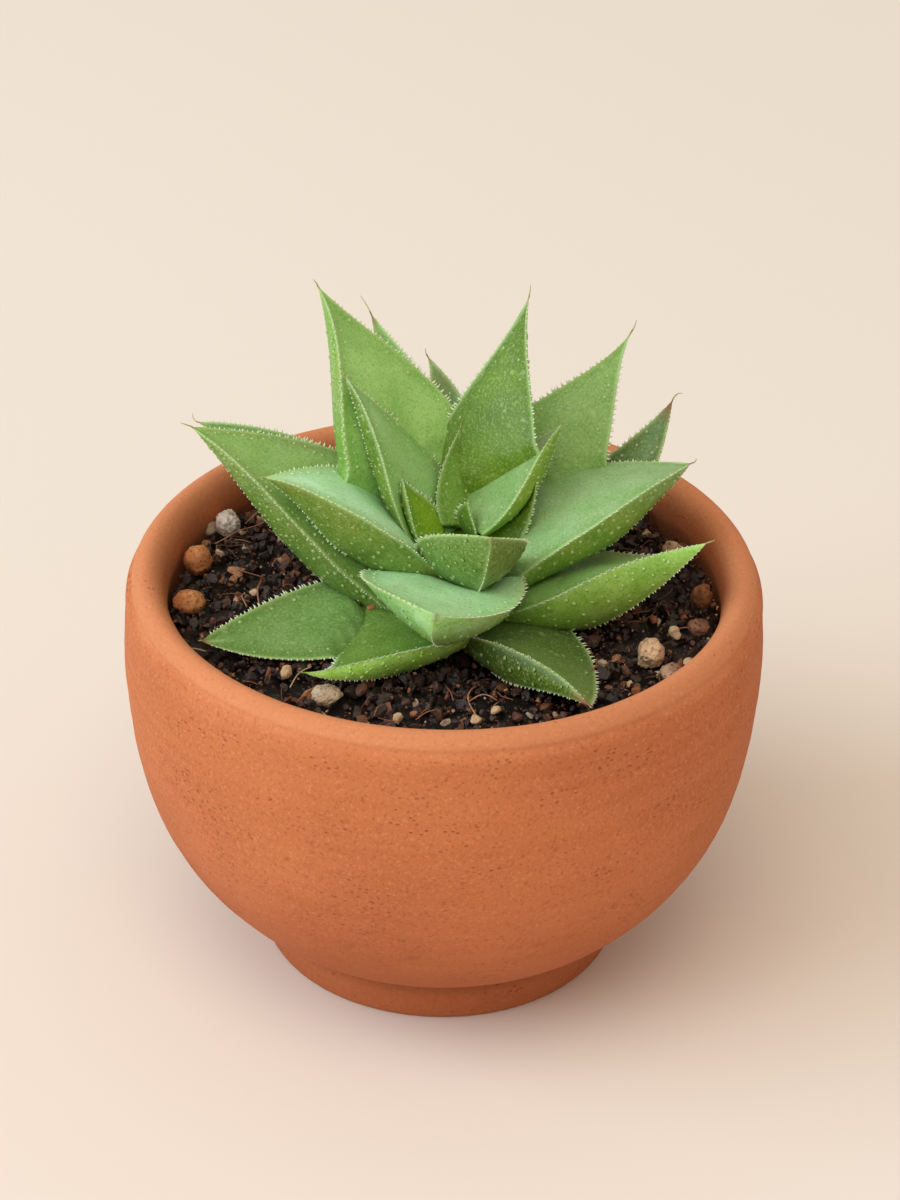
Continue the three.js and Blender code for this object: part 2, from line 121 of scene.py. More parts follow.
class Wire:
    """One output socket of a material's nodes, which can stand in a sum."""

    def __init__(self, socket):
        self.socket = socket

    def node(self, kind, settings, inputs, out=0):
        """Adds a node to this wire's tree: first its settings, then its sockets."""
        new = self.socket.id_data.nodes.new(kind)
        for name, value in settings.items():
            if name == "stops":
                ramp = new.color_ramp
                while len(ramp.elements) < len(value):
                    ramp.elements.new(1.0)
                for element, (place, colour) in zip(ramp.elements, value):
                    element.position = place
                    element.color = (*colour, 1.0)
            else:
                setattr(new, name, value)
        for name, value in inputs.items():
            plug(new.inputs[name], value)
        return Wire(new.outputs[out])

    def maths(self, operation, first, second):
        return self.node("ShaderNodeMath", {"operation": operation}, {0: first, 1: second})

    def __add__(self, other):
        return self.maths("ADD", self, other)

    def __sub__(self, other):
        return self.maths("SUBTRACT", self, other)

    def __rsub__(self, other):
        return self.maths("SUBTRACT", other, self)

    def __mul__(self, other):
        return self.maths("MULTIPLY", self, other)

    def __pow__(self, other):
        return self.maths("POWER", self, other)

    __radd__, __rmul__ = __add__, __mul__

    def step(self, low, high):
        """0 below low and 1 above high, with a smooth slope between."""
        return self.node("ShaderNodeMapRange", {"interpolation_type": "SMOOTHSTEP"},
                         {"Value": self, "From Min": low, "From Max": high})

    def clamp(self):
        return self.node("ShaderNodeClamp", {}, {"Value": self})

    def blend(self, dark, light):
        """The colour dark where this wire is 0, and light where it is 1."""
        tints = [c if isinstance(c, Wire) else (*c, 1.0) for c in (dark, light)]
        settings = {"data_type": "RGBA", "clamp_factor": True}
        return self.node("ShaderNodeMix", settings, {0: self, 6: tints[0], 7: tints[1]}, out=2)

    def coats(self, *layers):
        """This colour under thin coats: each is a mask, and the red, green and blue it brings."""
        colour = self
        for mask, *tone in layers:
            colour = mask.blend(colour, srgb(*tone))
        return colour

    def vector(self, operation, other=(0, 0, 0), out=0):
        return self.node("ShaderNodeVectorMath", {"operation": operation}, {0: self, 1: other}, out)

    def stretch(self, x, y, z):
        """A place, scaled along each axis."""
        return self.vector("MULTIPLY", (x, y, z))

    def through(self, red, green, blue):
        """A colour behind a filter that lets these shares of it pass."""
        glass = self.node("ShaderNodeCombineXYZ", {}, {0: red, 1: green, 2: blue})
        return self.vector("MULTIPLY", glass)

    def length(self):
        """How far a place lies from the origin."""
        return self.vector("LENGTH", out=1)

    def height(self):
        """How high a place lies."""
        return self.node("ShaderNodeSeparateXYZ", {}, {0: self}, out=2)

    def noise(self, per_metre, detail=2.0, rough=0.5):
        sockets = {"Vector": self, "Scale": per_metre, "Detail": detail, "Roughness": rough}
        return self.node("ShaderNodeTexNoise", {}, sockets)

    def cells(self, per_metre):
        return self.node("ShaderNodeTexVoronoi", {}, {"Vector": self, "Scale": per_metre})

    def attribute(self, name):
        return self.node("ShaderNodeAttribute", {"attribute_name": name}, {}, out=2)

    def bump(self, height, millimetres, strength=1.0):
        sockets = {"Height": height, "Distance": millimetres * MM, "Strength": strength}
        return self.node("ShaderNodeBump", {}, sockets)


def new_finish(name):
    """An empty material: its place wire, and a function that fills in the shader."""
    material = bpy.data.materials.new(name)
    material.use_nodes = True
    tree = material.node_tree
    shader = tree.nodes["Principled BSDF"]
    place = Wire(tree.nodes.new("ShaderNodeTexCoord").outputs["Object"])

    def paint(**sockets):
        for key, value in sockets.items():
            plug(shader.inputs[key.replace("_", " ")], value)
        return material

    return place, paint


def srgb(red, green, blue):
    """A colour as a picture editor shows it, 0 to 255, as the light values that a shader wants."""
    shares = [c / 255 for c in (red, green, blue)]
    return tuple(c / 12.92 if c <= 0.04045 else ((c + 0.055) / 1.055) ** 2.4 for c in shares)


print("a mid grey is", [round(c, 3) for c in srgb(128, 128, 128)])

# %% [markdown]
# Natural surfaces need randomness that is the same on every run. Two tools are enough: a seeded
# NumPy generator, for where things lie, and a smooth noise over space, for how surfaces swell.
# The noise gives each corner of a unit grid a scrambled value and blends them inside each cell.

# %% Smooth noise over space
SCRAMBLE = np.array([73856093, 19349663, 83492791], dtype=np.int64)


def swell(points, seed=0):
    """Smooth noise from -1 to 1 at each row of points, with bumps about one unit wide."""
    points = np.asarray(points, float)
    cell = np.floor(points).astype(np.int64)
    share = points - cell
    share = share * share * (3 - 2 * share)
    total = np.zeros(len(points))
    for corner in itertools.product((0, 1), repeat=3):
        key = ((cell + corner) * SCRAMBLE).sum(axis=1) + seed * 374761393
        key = (key ^ (key >> 13)) * 1274126177
        value = ((key ^ (key >> 16)) & 0xFFFF) / 0xFFFF
        weight = np.prod(np.where(corner, share, 1 - share), axis=1)
        total += value * weight
    return total * 2 - 1


print("noise at three places:", swell([[0.5, 0, 0], [1.5, 0, 0], [2.5, 0, 0]]).round(2))

# %% [markdown]
# All pieces are built the same way: rows of points and lists of corners go in, and a Blender mesh
# that rides with the frame comes out. Values that a finish needs, such as how far along its leaf
# a point is, go with the points as attributes.


# %% One maker for every piece
def make_piece(name, points, faces, material, slot, stands_for=(), smooth=True, values=None):
    mesh = bpy.data.meshes.new(name)
    mesh.from_pydata((np.asarray(points) * MM).tolist(), [], faces)
    for key, numbers in (values or {}).items():
        layer = mesh.attributes.new(key, "FLOAT", "POINT")
        layer.data.foreach_set("value", np.asarray(numbers, np.float32))
    mesh.polygons.foreach_set("use_smooth", [smooth] * len(faces))
    mesh.materials.append(material)
    mesh.update()
    piece = add_object(name, mesh)
    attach(piece, "root")
    if stands_for:
        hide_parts(*stands_for)
    print(name, "has", len(faces), "faces")


class Heap:
    """Many small shapes gathered into one mesh. Each value has a common number to start from."""

    def __init__(self, **common):
        self.common = common
        self.points = []
        self.faces = []
        self.values = {key: [] for key in common}
        self.count = 0

    def add(self, points, faces, **own):
        points = np.asarray(points, float)
        self.points.append(points)
        self.faces += [[corner + self.count for corner in face] for face in faces]
        self.count += len(points)
        for key, usual in self.common.items():
            value = np.asarray(own.get(key, usual), float)
            self.values[key].append(np.broadcast_to(value, (len(points),)))

    def make(self, name, material, slot, stands_for=(), smooth=True):
        values = {key: np.concatenate(parts) for key, parts in self.values.items()}
        points = np.concatenate(self.points)
        make_piece(name, points, self.faces, material, slot, stands_for, smooth, values)


def smooth_curve(points, count):
    """A curve through the points, as count points at even distances."""
    points = np.asarray(points, float)
    ends = np.vstack([2 * points[0] - points[1], points, 2 * points[-1] - points[-2]])
    dense = []
    for a, b, c, d in zip(ends, ends[1:], ends[2:], ends[3:]):
        for t in np.linspace(0, 1, 24, endpoint=False):
            dense.append(0.5 * (2 * b + (c - a) * t + (2 * a - 5 * b + 4 * c - d) * t**2
                                + (3 * b - 3 * c + d - a) * t**3))
    dense = np.array(dense + [points[-1]])
    walked = np.concatenate([[0], np.cumsum(np.linalg.norm(np.diff(dense, axis=0), axis=1))])
    wanted = np.linspace(0, walked[-1], count)
    return np.column_stack([np.interp(wanted, walked, dense[:, k]) for k in range(dense.shape[1])])


def ring_faces(rows, sides, closed=False, capped=False):
    """Quads between rows of points that each run once round. Capped ends get one face each."""
    faces = []
    for i in range(rows if closed else rows - 1):
        below = (i + 1) % rows
        for j in range(sides):
            k = (j + 1) % sides
            faces.append((i * sides + j, i * sides + k, below * sides + k, below * sides + j))
    if capped:
        faces.append(tuple(range(sides))[::-1])
        faces.append(tuple((rows - 1) * sides + j for j in range(sides)))
    return faces


def polar(angle, radius, height):
    """Points at these angles, radii and heights round the upright axis."""
    parts = np.cos(angle) * radius, np.sin(angle) * radius, height
    return np.stack(np.broadcast_arrays(*parts), axis=-1)


def turned(profile, sides):
    """A profile of radius and height, turned round the upright axis: rows by sides by 3."""
    radius, height = np.asarray(profile, float).T[..., None]
    return polar(np.linspace(0, 2 * np.pi, sides, endpoint=False), radius, height)


def unit(rows):
    """The same directions with a length of 1."""
    return rows / np.maximum(np.linalg.norm(rows, axis=-1, keepdims=True), 1e-9)


def tube(path, radii, sides=6):
    """Points and faces of a round tube along a path, with a radius at each point of it."""
    path = np.asarray(path, float)
    way = unit(np.gradient(path, axis=0))
    first = unit(np.cross(way, (0.0, 0.0, 1.0) if abs(way[0, 2]) < 0.8 else (1.0, 0.0, 0.0)))
    second = np.cross(first, way)
    angle = np.linspace(0, 2 * np.pi, sides, endpoint=False)[:, None]
    ring = first[:, None] * np.cos(angle) + second[:, None] * np.sin(angle)
    radii = np.broadcast_to(radii, len(path))[:, None, None]
    return (path[:, None] + ring * radii).reshape(-1, 3), ring_faces(len(path), sides, capped=True)


print("four points on a curve:", smooth_curve([(0, 0), (1, 1), (2, 0)], 4).round(2).tolist())

# %% [markdown]
# The bowl was thrown on a wheel, so it is a profile turned round an axis. Real fired clay isn't
# that perfect: the wall carries faint rings from the potter's fingers, it is a little out of
# round, and sand grains that were dragged or fell out left small pits. All of these move the
# points of the mesh. A texture alone would leave the outline of the wall too smooth.

# %% The bowl's profile
POT_HEIGHT = 80.4
LIP_RADIUS = 55.6
LIP_HALF_WIDTH = 3.9
LIP_HALF_HEIGHT = 7.0
LIP_MIDDLE = POT_HEIGHT - LIP_HALF_HEIGHT
FOOT_RADIUS = 34.3
FOOT_HEIGHT = 8.8
RECESS_RADIUS = 23
RECESS_DEPTH = 2.2
DRAIN_RADIUS = 6
FLOOR_HEIGHT = 12.6
BELLY_ROWS = 92

# From the drain hole, over the recess under the bowl and its foot, to the joint above the foot.
FOOT = [
    (DRAIN_RADIUS, RECESS_DEPTH + 0.3), (DRAIN_RADIUS + 0.3, RECESS_DEPTH), (14, RECESS_DEPTH),
    (RECESS_RADIUS - 1.2, RECESS_DEPTH), (RECESS_RADIUS - 0.5, RECESS_DEPTH - 0.4),
    (RECESS_RADIUS, 0.3), (RECESS_RADIUS + 0.5, 0), (28, 0), (FOOT_RADIUS - 1.1, 0),
    (FOOT_RADIUS - 0.4, 0.25), (FOOT_RADIUS, 0.9), (FOOT_RADIUS + 0.05, 3.5),
    (FOOT_RADIUS - 0.15, 6.8), (FOOT_RADIUS - 0.3, FOOT_HEIGHT - 0.3),
    (FOOT_RADIUS, FOOT_HEIGHT + 0.2),
]
BELLY_OUTSIDE = [
    (FOOT_RADIUS + 0.8, FOOT_HEIGHT + 0.6), (40.4, 12.4), (44.8, 16.4), (48.8, 21.1), (52, 26.1),
    (54.7, 31.6), (56.7, 37.4), (58.1, 43.3), (59, 49.2), (59.6, 55.3), (60, 61.3), (59.9, 67.4),
    (LIP_RADIUS + LIP_HALF_WIDTH, LIP_MIDDLE),
]
BELLY_INSIDE = [
    (LIP_RADIUS - LIP_HALF_WIDTH, LIP_MIDDLE), (52.4, 62), (51, 47), (45.5, 31), (35, 19),
    (21, 13.8), (12, FLOOR_HEIGHT),
]
arc = np.linspace(0, np.pi, 64)[1:-1]
lip = np.column_stack([
    LIP_RADIUS + LIP_HALF_WIDTH * np.cos(arc), LIP_MIDDLE + LIP_HALF_HEIGHT * np.sin(arc)])
floor_inside = [(DRAIN_RADIUS + 0.4, FLOOR_HEIGHT), (DRAIN_RADIUS, FLOOR_HEIGHT - 0.4)]
bowl_profile = np.vstack([
    FOOT, smooth_curve(BELLY_OUTSIDE, BELLY_ROWS), lip,
    smooth_curve(BELLY_INSIDE, 20), floor_inside])
print("profile points:", len(bowl_profile))

# %% [markdown]
# The marks of making are put on the turned wall next. TOOL_LINES lists the depth, height and
# half-width of the line that a tool cut under the lip and of the low bead below it. The pits come
# in clusters, where a stone was dragged through the clay, and singly. Each is a small bowl, pushed
# into the mesh.

# %% The bowl's wall
BOWL_SIDES = 500
PIT_CLUSTERS = 46
LOOSE_PITS = 260
PIT_RADIUS = (0.3, 0.55)
PIT_DEPTH = (0.1, 0.24)
DARKEST_PIT = 0.28
TOOL_LINES = ((0.5, 77.4, 0.75), (-0.12, 75.6, 1.1))
chance = np.random.default_rng(11)


def pit_places():
    """Angle, height, radius and depth of each pit: some in clusters and some alone."""
    pits = []
    for _ in range(PIT_CLUSTERS):
        angle = chance.uniform(0, 2 * np.pi)
        height = chance.triangular(14, 30, 64)
        for _ in range(chance.integers(5, 14)):
            pits.append((angle + chance.normal(0, 0.06), height + chance.normal(0, 1.0)))
    for _ in range(LOOSE_PITS):
        pits.append((chance.uniform(0, 2 * np.pi), chance.uniform(11, 71)))
    return [(*pit, chance.uniform(*PIT_RADIUS), chance.uniform(*PIT_DEPTH)) for pit in pits]


def bowl_points():
    """The bowl's points, and how deep in a pit each of them lies, from 0 to 1."""
    turn = np.linspace(0, 2 * np.pi, BOWL_SIDES, endpoint=False)
    radius, height = (np.repeat(bowl_profile[:, k:k + 1], BOWL_SIDES, axis=1) for k in (0, 1))
    flat = polar(turn, radius, height).reshape(-1, 3)
    # 1 on the wall, and 0 on the foot and the floor, which stay true.
    wall = np.clip((height - 10) / 4, 0, 1) * np.clip((radius - 36) / 3, 0, 1)
    rings = 0.05 * swell(flat * (0.02, 0.02, 0.5), 3) + 0.035 * swell(flat * (0.03, 0.03, 1.1), 4)
    lumps = 0.10 * swell(flat * 0.06, 5) + 0.03 * swell(flat * 0.35, 6)
    push = wall * (rings + lumps).reshape(radius.shape)
    push -= (radius > LIP_RADIUS) * sum(
        depth * np.exp(-((height - level) / half) ** 2) for depth, level, half in TOOL_LINES)
    pitted = np.zeros(radius.shape)
    for pit_angle, pit_height, pit_radius, depth in pit_places():
        rows = np.where((abs(height[:, 0] - pit_height) < 1.2) & (bowl_profile[:, 0] > 30))[0]
        rows = rows[rows < len(FOOT) + BELLY_ROWS]
        away = (turn - pit_angle + np.pi) % (2 * np.pi) - np.pi
        distance = np.hypot(away * radius[rows], height[rows] - pit_height) / pit_radius
        hole = np.clip(1 - distance**2, 0, 1) ** 2
        pitted[rows] = np.maximum(pitted[rows], hole * depth)
    points = polar(turn, radius + push - pitted, height)
    return points.reshape(-1, 3), (pitted / DARKEST_PIT).ravel()


bowl_mesh, pit_values = bowl_points()
print("points of the bowl:", len(bowl_mesh), "and in pits:", int((pit_values > 0).sum()))

# %% [markdown]
# Terracotta is matte and grainy. Its colour drifts in soft clouds, each pit is darker than the
# wall round it, and fine sand shows as light and dark specks. Some light and shade is painted
# into the colour: a highlight on the top of the lip, shade low on the belly, a shadow on the foot
# just under the belly, and shade with a little dirt on the inner wall. The inside near the soil
# has a brown tide mark. Only colour, roughness and bump vary, so the finish can be baked.


# %% Terracotta
def terracotta_finish():
    place, paint = new_finish("terracotta")
    clouds = place.noise(22, 3).step(0.32, 0.7)
    patches = place.noise(75, 4, 0.6).step(0.35, 0.72)
    rings = place.stretch(0.25, 0.25, 6).noise(70, 2).step(0.35, 0.7)
    sand = place.noise(1500, 2, 0.7)
    clusters = place.stretch(0.7, 0.7, 1.5).noise(90, 3).step(0.5, 0.64)
    specks = (1 - place.stretch(0.7, 0.7, 1.2).cells(900).step(0.12, 0.3)) * clusters
    pits = (place.attribute("pit") ** 0.7).clamp()
    up = place.height()
    out = place.stretch(1, 1, 0).length()
    # The top of the lip is lighter: a painted highlight where the top light falls on it.
    painted_lip_highlight = (up + (patches - 0.5) * 0.0012).step(0.0758, 0.0784)
    # Painted shade: the belly darkens towards the bottom, which faces away from the light.
    low = 1 - (up + clouds * 0.006).step(0.014, 0.062)
    # Painted shadow: a dark band on the foot just under the bulge of the belly.
    painted_foot_shadow = up.step(0.0045, 0.0086) * (1 - up.step(0.0098, 0.0135))
    # Mostly painted shade on the inner wall below the lip, with a little dirt.
    inner_wall_shade_and_dirt = (1 - out.step(0.0524, 0.0538)) * up.step(0.045, 0.05)
    damp = inner_wall_shade_and_dirt * (1 - (up + patches * 0.002).step(0.0724, 0.0748))
    colour = clouds.blend(srgb(190, 108, 66), srgb(204, 121, 76)).coats(
        (patches * 0.55, 193, 111, 68), (rings * 0.2, 214, 134, 90),
        (sand.step(0.54, 0.72) * 0.5, 222, 149, 108),
        ((1 - sand.step(0.3, 0.44)) * 0.5, 146, 76, 44), (specks * 0.5, 130, 66, 38),
        (pits * 0.42, 122, 60, 34), (painted_lip_highlight * 0.38, 226, 156, 112), (low * 0.55, 154, 80, 45),
        (painted_foot_shadow * 0.42, 112, 56, 30), (inner_wall_shade_and_dirt * 0.3, 180, 96, 60), (damp * 0.4, 120, 72, 46))
    relief = place.noise(700, 3, 0.65) * 0.5 + sand * 0.35 - specks * 0.9 - pits * 0.3
    return paint(Base_Color=colour, Roughness=0.82 + place.noise(300) * 0.14,
                 Normal=place.bump(relief, 0.2, 0.9), Specular_IOR_Level=0.25)


make_piece("terracotta_bowl", bowl_mesh, ring_faces(len(bowl_profile), BOWL_SIDES, closed=True),
           terracotta_finish(), "terracotta", ["pot"], values={"pit": pit_values})

# %% [markdown]
# A leaf is drawn as a ruler that bends. Its middle line leaves the stem at one slope and heading
# and turns towards another, and its face rolls and twists on the way. Across the line lies a
# section: an almost flat upper face, two toothed edges, and two flanks that meet in a keel. The
# table gives each leaf's numbers, youngest first, exactly as on the solids, so each dressed leaf
# keeps the form of the one that it stands for. root is how high over the soil it starts. turn is
# its heading and rise its slope, and sweep and curl are what they gain on the way to the tip. roll
# is how far its face leans over at the root, and twist is what that gains on the way. These six
# are in degrees. long, wide and deep are its sizes. belly is how far along it is widest, waist how
# wide its root is beside that, point how sharply it narrows to the tip, and keel how far its keel
# lies to one side. A leaf with a blunt below 1 stays thick almost to its tip.

# %% The leaves' sizes
STEM_X = 2
LEAF_START = 3
SOIL_HEIGHT = 71.8
COLUMNS = ("root", "turn", "rise", "curl", "sweep", "roll", "twist",
           "long", "wide", "deep", "belly", "waist", "point", "keel", "blunt")
ROWS = {
    "leaf_bud": (14, 24, 113, -40, 0, 10, 0, 8, 6, 1.5, 0.35, 0.7, 1.1, 0, 1),
    "leaf_heart_rear": (15, 95, 45, 0, -20, 30, 25, 19, 8, 3, 0.25, 0.7, 1.3, 0, 1),
    "leaf_heart_left": (14, 189, 55, 20, 5, -35, 25, 16, 10, 3, 0.3, 0.85, 1.2, 0, 1),
    "leaf_heart_front": (8, -78, 60, -36, 10, -3, -12, 28.5, 19.5, 9, 0.6, 0.55, 0.8, 0.1, 0.4),
    "leaf_heart_right": (16, 35, 45, -20, 0, -10, -25, 26, 16, 6, 0.35, 0.65, 1.2, -0.1, 1),
    "leaf_inner_rear_left": (13, 150, 63, -20, 5, 0, 25, 36, 20, 5.5, 0.3, 0.7, 1.3, 0.3, 1),
    "leaf_tall_rear": (10, 65, 61, -5, -5, 0, -30, 49, 25, 5, 0.25, 0.7, 1.4, 0, 1),
    "leaf_right_upper": (8, 15, 37, -45, 10, 5, -25, 47, 26, 8, 0.45, 0.85, 0.9, -0.6, 1),
    "leaf_left_inner": (6, 186, 63, -70, -5, 15, -10, 42, 26, 10, 0.45, 0.75, 1.4, 0.2, 1),
    "leaf_front": (10.5, -99, 15, 2, 9, 6, -22, 33, 29.5, 9, 0.42, 0.75, 0.7, 0.2, 0.3),
    "leaf_tall_left": (9, 127, 58, -15, 20, -10, 20, 56, 28, 8.5, 0.35, 0.7, 1.5, 0.6, 1),
    "leaf_tall_right": (8, 46, 30, 15, 0, 20, 10, 55, 25, 5, 0.35, 0.7, 1.8, 0, 1),
    "leaf_right_lower": (4, -7, 13, 20, -20, 5, -40, 48, 27, 10, 0.35, 0.75, 1.4, -0.3, 1),
    "leaf_left_long": (4, 164, 39, -25, 5, -20, 25, 55, 28, 10.5, 0.3, 0.8, 1, 0.6, 1),
    "leaf_front_right": (3, -53, 6, -5, -20, 10, -60, 47, 22, 6.5, 0.5, 0.7, 1.1, -0.6, 1),
    "leaf_front_left": (6, -118, -10, 32, -20, 0, 40, 44, 28, 5.5, 0.3, 0.7, 2.1, 0.4, 1),
    "leaf_left_low": (6, -153, -10, 20, -5, 0, -15, 48, 21, 2, 0.4, 0.7, 0.9, 0, 1),
    "leaf_rear_left": (6, 108, 44, -15, 10, -5, -5, 54, 16, 5, 0.35, 0.7, 1.3, 0, 1),
    "leaf_rear_middle": (7, 90, 44, -35, 20, -20, -25, 47, 16, 4.5, 0.25, 0.7, 1.4, 0, 1),
    "leaf_rear_right": (4, 32, 6, 55, 5, 5, 5, 54.5, 18, 5, 0.35, 0.7, 1.1, 0, 1),
    "leaf_left_rear": (6, 149, 30, -35, 0, 5, -10, 58, 18, 5, 0.35, 0.7, 1, 0, 1),
    "leaf_low_rear_left": (4, 128, 16, -5, 5, 5, 5, 36, 19, 5, 0.4, 0.7, 1.1, 0.1, 1),
    "leaf_low_rear_right": (4, 62, 14, -5, -5, -5, -10, 38, 19, 5, 0.4, 0.7, 1.1, -0.1, 1),
}
LEAVES = {name: dict(zip(COLUMNS, row)) for name, row in ROWS.items()}
print("leaves:", len(LEAVES), "and all are in the frame:", set(LEAVES) <= set(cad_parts))

# %% [markdown]
# Leaves also differ in habit. face and flank are two numbers each: how light that side is beside
# the common green, and how much blue it holds. Both are partly painted light: they were set per
# leaf to the light and shade that fall on it, so a face that looks up to the cool light is lighter
# and bluer, and a side in the shade of another leaf is darker. Leaves in the heart are
# yellow-green. The wax number is how much milky wax lies on the face, together with a painted
# sheen where the face looks up, and tip is how much lighter the last part of the leaf is, a
# painted light where the tip comes out of the shade. awn is the length of the dry hair at the tip,
# bend is how far that hair curls over, dry is how much of the tip has browned, and blush is how
# red its edges are. spots is how thickly its flanks are set with pale spots. What a leaf doesn't
# list is as in COMMON.

# %% The leaves' habits
# face, flank and tip paint light and shade: a side is lighter where it is lit and darker in shade.
COMMON = dict(face=(0.9, 0.9), flank=(1.0, 1.0), awn=1.8, bend=0.3, dry=0.012, blush=0.0,
              spots=1.0, tip=1.0, bloom=0.0)
HABITS = {
    "leaf_bud": dict(face=(0.6, 0.3), awn=0.5, spots=0.5),
    "leaf_heart_rear": dict(face=(0.78, 0.45), awn=1.2, spots=1.5),
    "leaf_heart_left": dict(face=(0.87, 0.05), awn=1.2, spots=1.2),
    "leaf_heart_front": dict(face=(1.4, 1.4), flank=(0.66, 1.1), awn=0.4, dry=0.0, spots=1.3),
    "leaf_heart_right": dict(face=(0.85, 0.92), flank=(1.12, 0.45), awn=1.5, bloom=0.2),
    "leaf_inner_rear_left": dict(face=(1.18, 1.05), flank=(0.6, 0.5), spots=1.2),
    "leaf_tall_rear": dict(face=(0.47, 0.05), flank=(1.1, 1.0), awn=2.2, dry=0.02),
    "leaf_right_upper": dict(face=(1.0, 1.12), flank=(0.95, 0.85), awn=2.4, bend=0.9, bloom=0.25),
    "leaf_left_inner": dict(face=(1.82, 1.7), flank=(0.76, 0.75), awn=1.4, blush=0.3, spots=1.4,
                            bloom=0.3),
    "leaf_front": dict(face=(1.75, 1.55), flank=(1.8, 2.4), awn=0.4, dry=0.0, bloom=0.4),
    "leaf_tall_left": dict(face=(1.22, 0.8), flank=(1.05, 1.25), awn=1.4, bend=0.1, dry=0.01),
    "leaf_tall_right": dict(face=(0.88, 0.66), awn=2.2, dry=0.02),
    "leaf_right_lower": dict(face=(0.9, 0.85), flank=(1.3, 1.1), tip=1.3),
    "leaf_left_long": dict(face=(0.9, 0.75), flank=(0.68, 0.95), awn=2.4, bend=0.2, spots=1.5,
                           blush=0.35, tip=1.3),
    "leaf_front_right": dict(face=(0.31, 0.6), flank=(0.19, 0.1), awn=0.6, bend=0.9, dry=0.07,
                             spots=0.6, tip=3.2),
    "leaf_front_left": dict(face=(0.5, 0.4), flank=(2.1, 1.4), awn=1.6, tip=1.5),
    "leaf_left_low": dict(face=(0.65, 0.8), flank=(0.8, 1.0), awn=0.9, dry=0.03, blush=0.4,
                          spots=0.6),
    "leaf_rear_left": dict(awn=4.2, bend=0.2, dry=0.05),
    "leaf_rear_middle": dict(face=(0.75, 1.1), flank=(0.6, 1.0), awn=1.6, bend=-0.6, dry=0.05,
                             blush=1.0),
    "leaf_rear_right": dict(face=(0.55, 1.0), flank=(0.6, 1.0), awn=3.4, bend=-1.3, dry=0.07,
                            blush=0.4),
    "leaf_left_rear": dict(face=(0.7, 0.9), flank=(0.8, 1.0), awn=2.6, bend=-1.0),
    "leaf_low_rear_left": dict(face=(0.65, 0.9), flank=(0.7, 1.0)),
    "leaf_low_rear_right": dict(face=(0.65, 0.9), flank=(0.7, 1.0)),
}
print("leaves that blush:", sum("blush" in habit for habit in HABITS.values()))

# %% [markdown]
# The middle line is walked in many short strides, each along the heading and slope of that place.
# The stations, where sections will stand, are then read off it. At each one the line also knows
# which way is across the face and which is up out of it, and how wide and deep the leaf is.

# %% A leaf's middle line
STRIDES = 240


def fullness(along, belly, waist, fall, point):
    """Share of the full width along a leaf: out to the belly, then in to the tip."""
    inward = np.clip((belly - along) / belly, 0, 1)
    outward = np.clip((along - belly) / (1 - belly), 0, 1)
    return np.where(along < belly, 1 - (1 - waist) * inward**2,
                    np.clip(1 - outward**fall, 0, 1) ** point)


class LeafLine:
    """A leaf's middle line at the stations, with its directions and its section's sizes."""

    def __init__(self, leaf, stations):
        self.leaf = leaf
        self.along = stations
        walk = (np.arange(STRIDES) + 0.5) / STRIDES
        strides = self.forward_at(walk)[0] * leaf["long"] / STRIDES
        start = math.radians(leaf["turn"])
        root = np.array([STEM_X + LEAF_START * math.cos(start), LEAF_START * math.sin(start),
                         SOIL_HEIGHT + leaf["root"]])
        path = np.vstack([root, root + np.cumsum(strides, axis=0)])
        marks = np.linspace(0, 1, STRIDES + 1)
        self.place = np.column_stack([np.interp(stations, marks, path[:, k]) for k in range(3)])
        self.forward, level, upright = self.forward_at(stations)
        roll = np.radians(leaf["roll"] + leaf["twist"] * stations)[:, None]
        self.across = level * np.cos(roll) + upright * np.sin(roll)
        self.above = upright * np.cos(roll) - level * np.sin(roll)
        belly = leaf["belly"]
        width = fullness(stations, belly, leaf["waist"], 1.7, leaf["point"])
        thick = fullness(stations, min(belly + 0.08, 0.6), 0.55, 1.6, leaf["blunt"])
        self.half = np.maximum(0.13, leaf["wide"] / 2 * width)
        self.depth = np.maximum(0.2, leaf["deep"] * thick)
        self.crown = leaf["wide"] * (0.045 - 0.06 * stations) * np.clip(self.half, 0, 1)
        self.keel = leaf["keel"] * self.half

    def forward_at(self, along):
        """The directions ahead, level across and upright at these shares of the way."""
        bend = along**1.4
        slope = np.radians(self.leaf["rise"] + self.leaf["curl"] * bend)
        heading = np.radians(self.leaf["turn"] + self.leaf["sweep"] * bend)
        forward = polar(heading, np.cos(slope), np.sin(slope))
        level = np.stack([-np.sin(heading), np.cos(heading), np.zeros_like(heading)], axis=-1)
        return forward, level, np.cross(forward, level)

    def at(self, side, up):
        """The points that lie side across and up out of each station's place."""
        return (self.place[:, None] + self.across[:, None] * side[..., None]
                + self.above[:, None] * up[..., None])


bud_width = fullness(np.array([0, 0.35, 1]), 0.35, 0.7, 1.7, 1.1)
print("the bud's width at its root, belly and tip:", bud_width)

# %% [markdown]
# The section's points crowd together at the edges and the keel, where the surface turns sharply
# and the pale lines lie. For each point the section also says how near it is to such a line and
# whether it is on the upper face, which the leaf finish reads later.

# %% The fine section
UPPER_STEPS = 18
FLANK_STEPS = 10
EDGE_THICKNESS = 0.36
FLANK_FULLNESS = 0.6
STATION_PITCH = 0.5
RIM_WIDTH = 0.42
KEEL_WIDTH = 0.4
BORDER_WIDTH = 2.4


def flank_curve(line, sign, share):
    """Side and height of a flank at each share of the way from the edge to the keel."""
    thick = np.minimum(EDGE_THICKNESS, line.depth * 0.4)[:, None]
    half, depth, keel = line.half[:, None], line.depth[:, None], line.keel[:, None]
    start = (sign * half, -thick)
    middle = (keel / 2 + sign * half * FLANK_FULLNESS, -depth * FLANK_FULLNESS - thick * 0.3)
    end = (keel, -depth)
    curve = []
    for a, m, c in zip(start, middle, end):
        b = 2 * m - 0.5 * (a + c)
        curve.append(a * (1 - share) ** 2 + 2 * b * share * (1 - share) + c * share**2)
    return curve


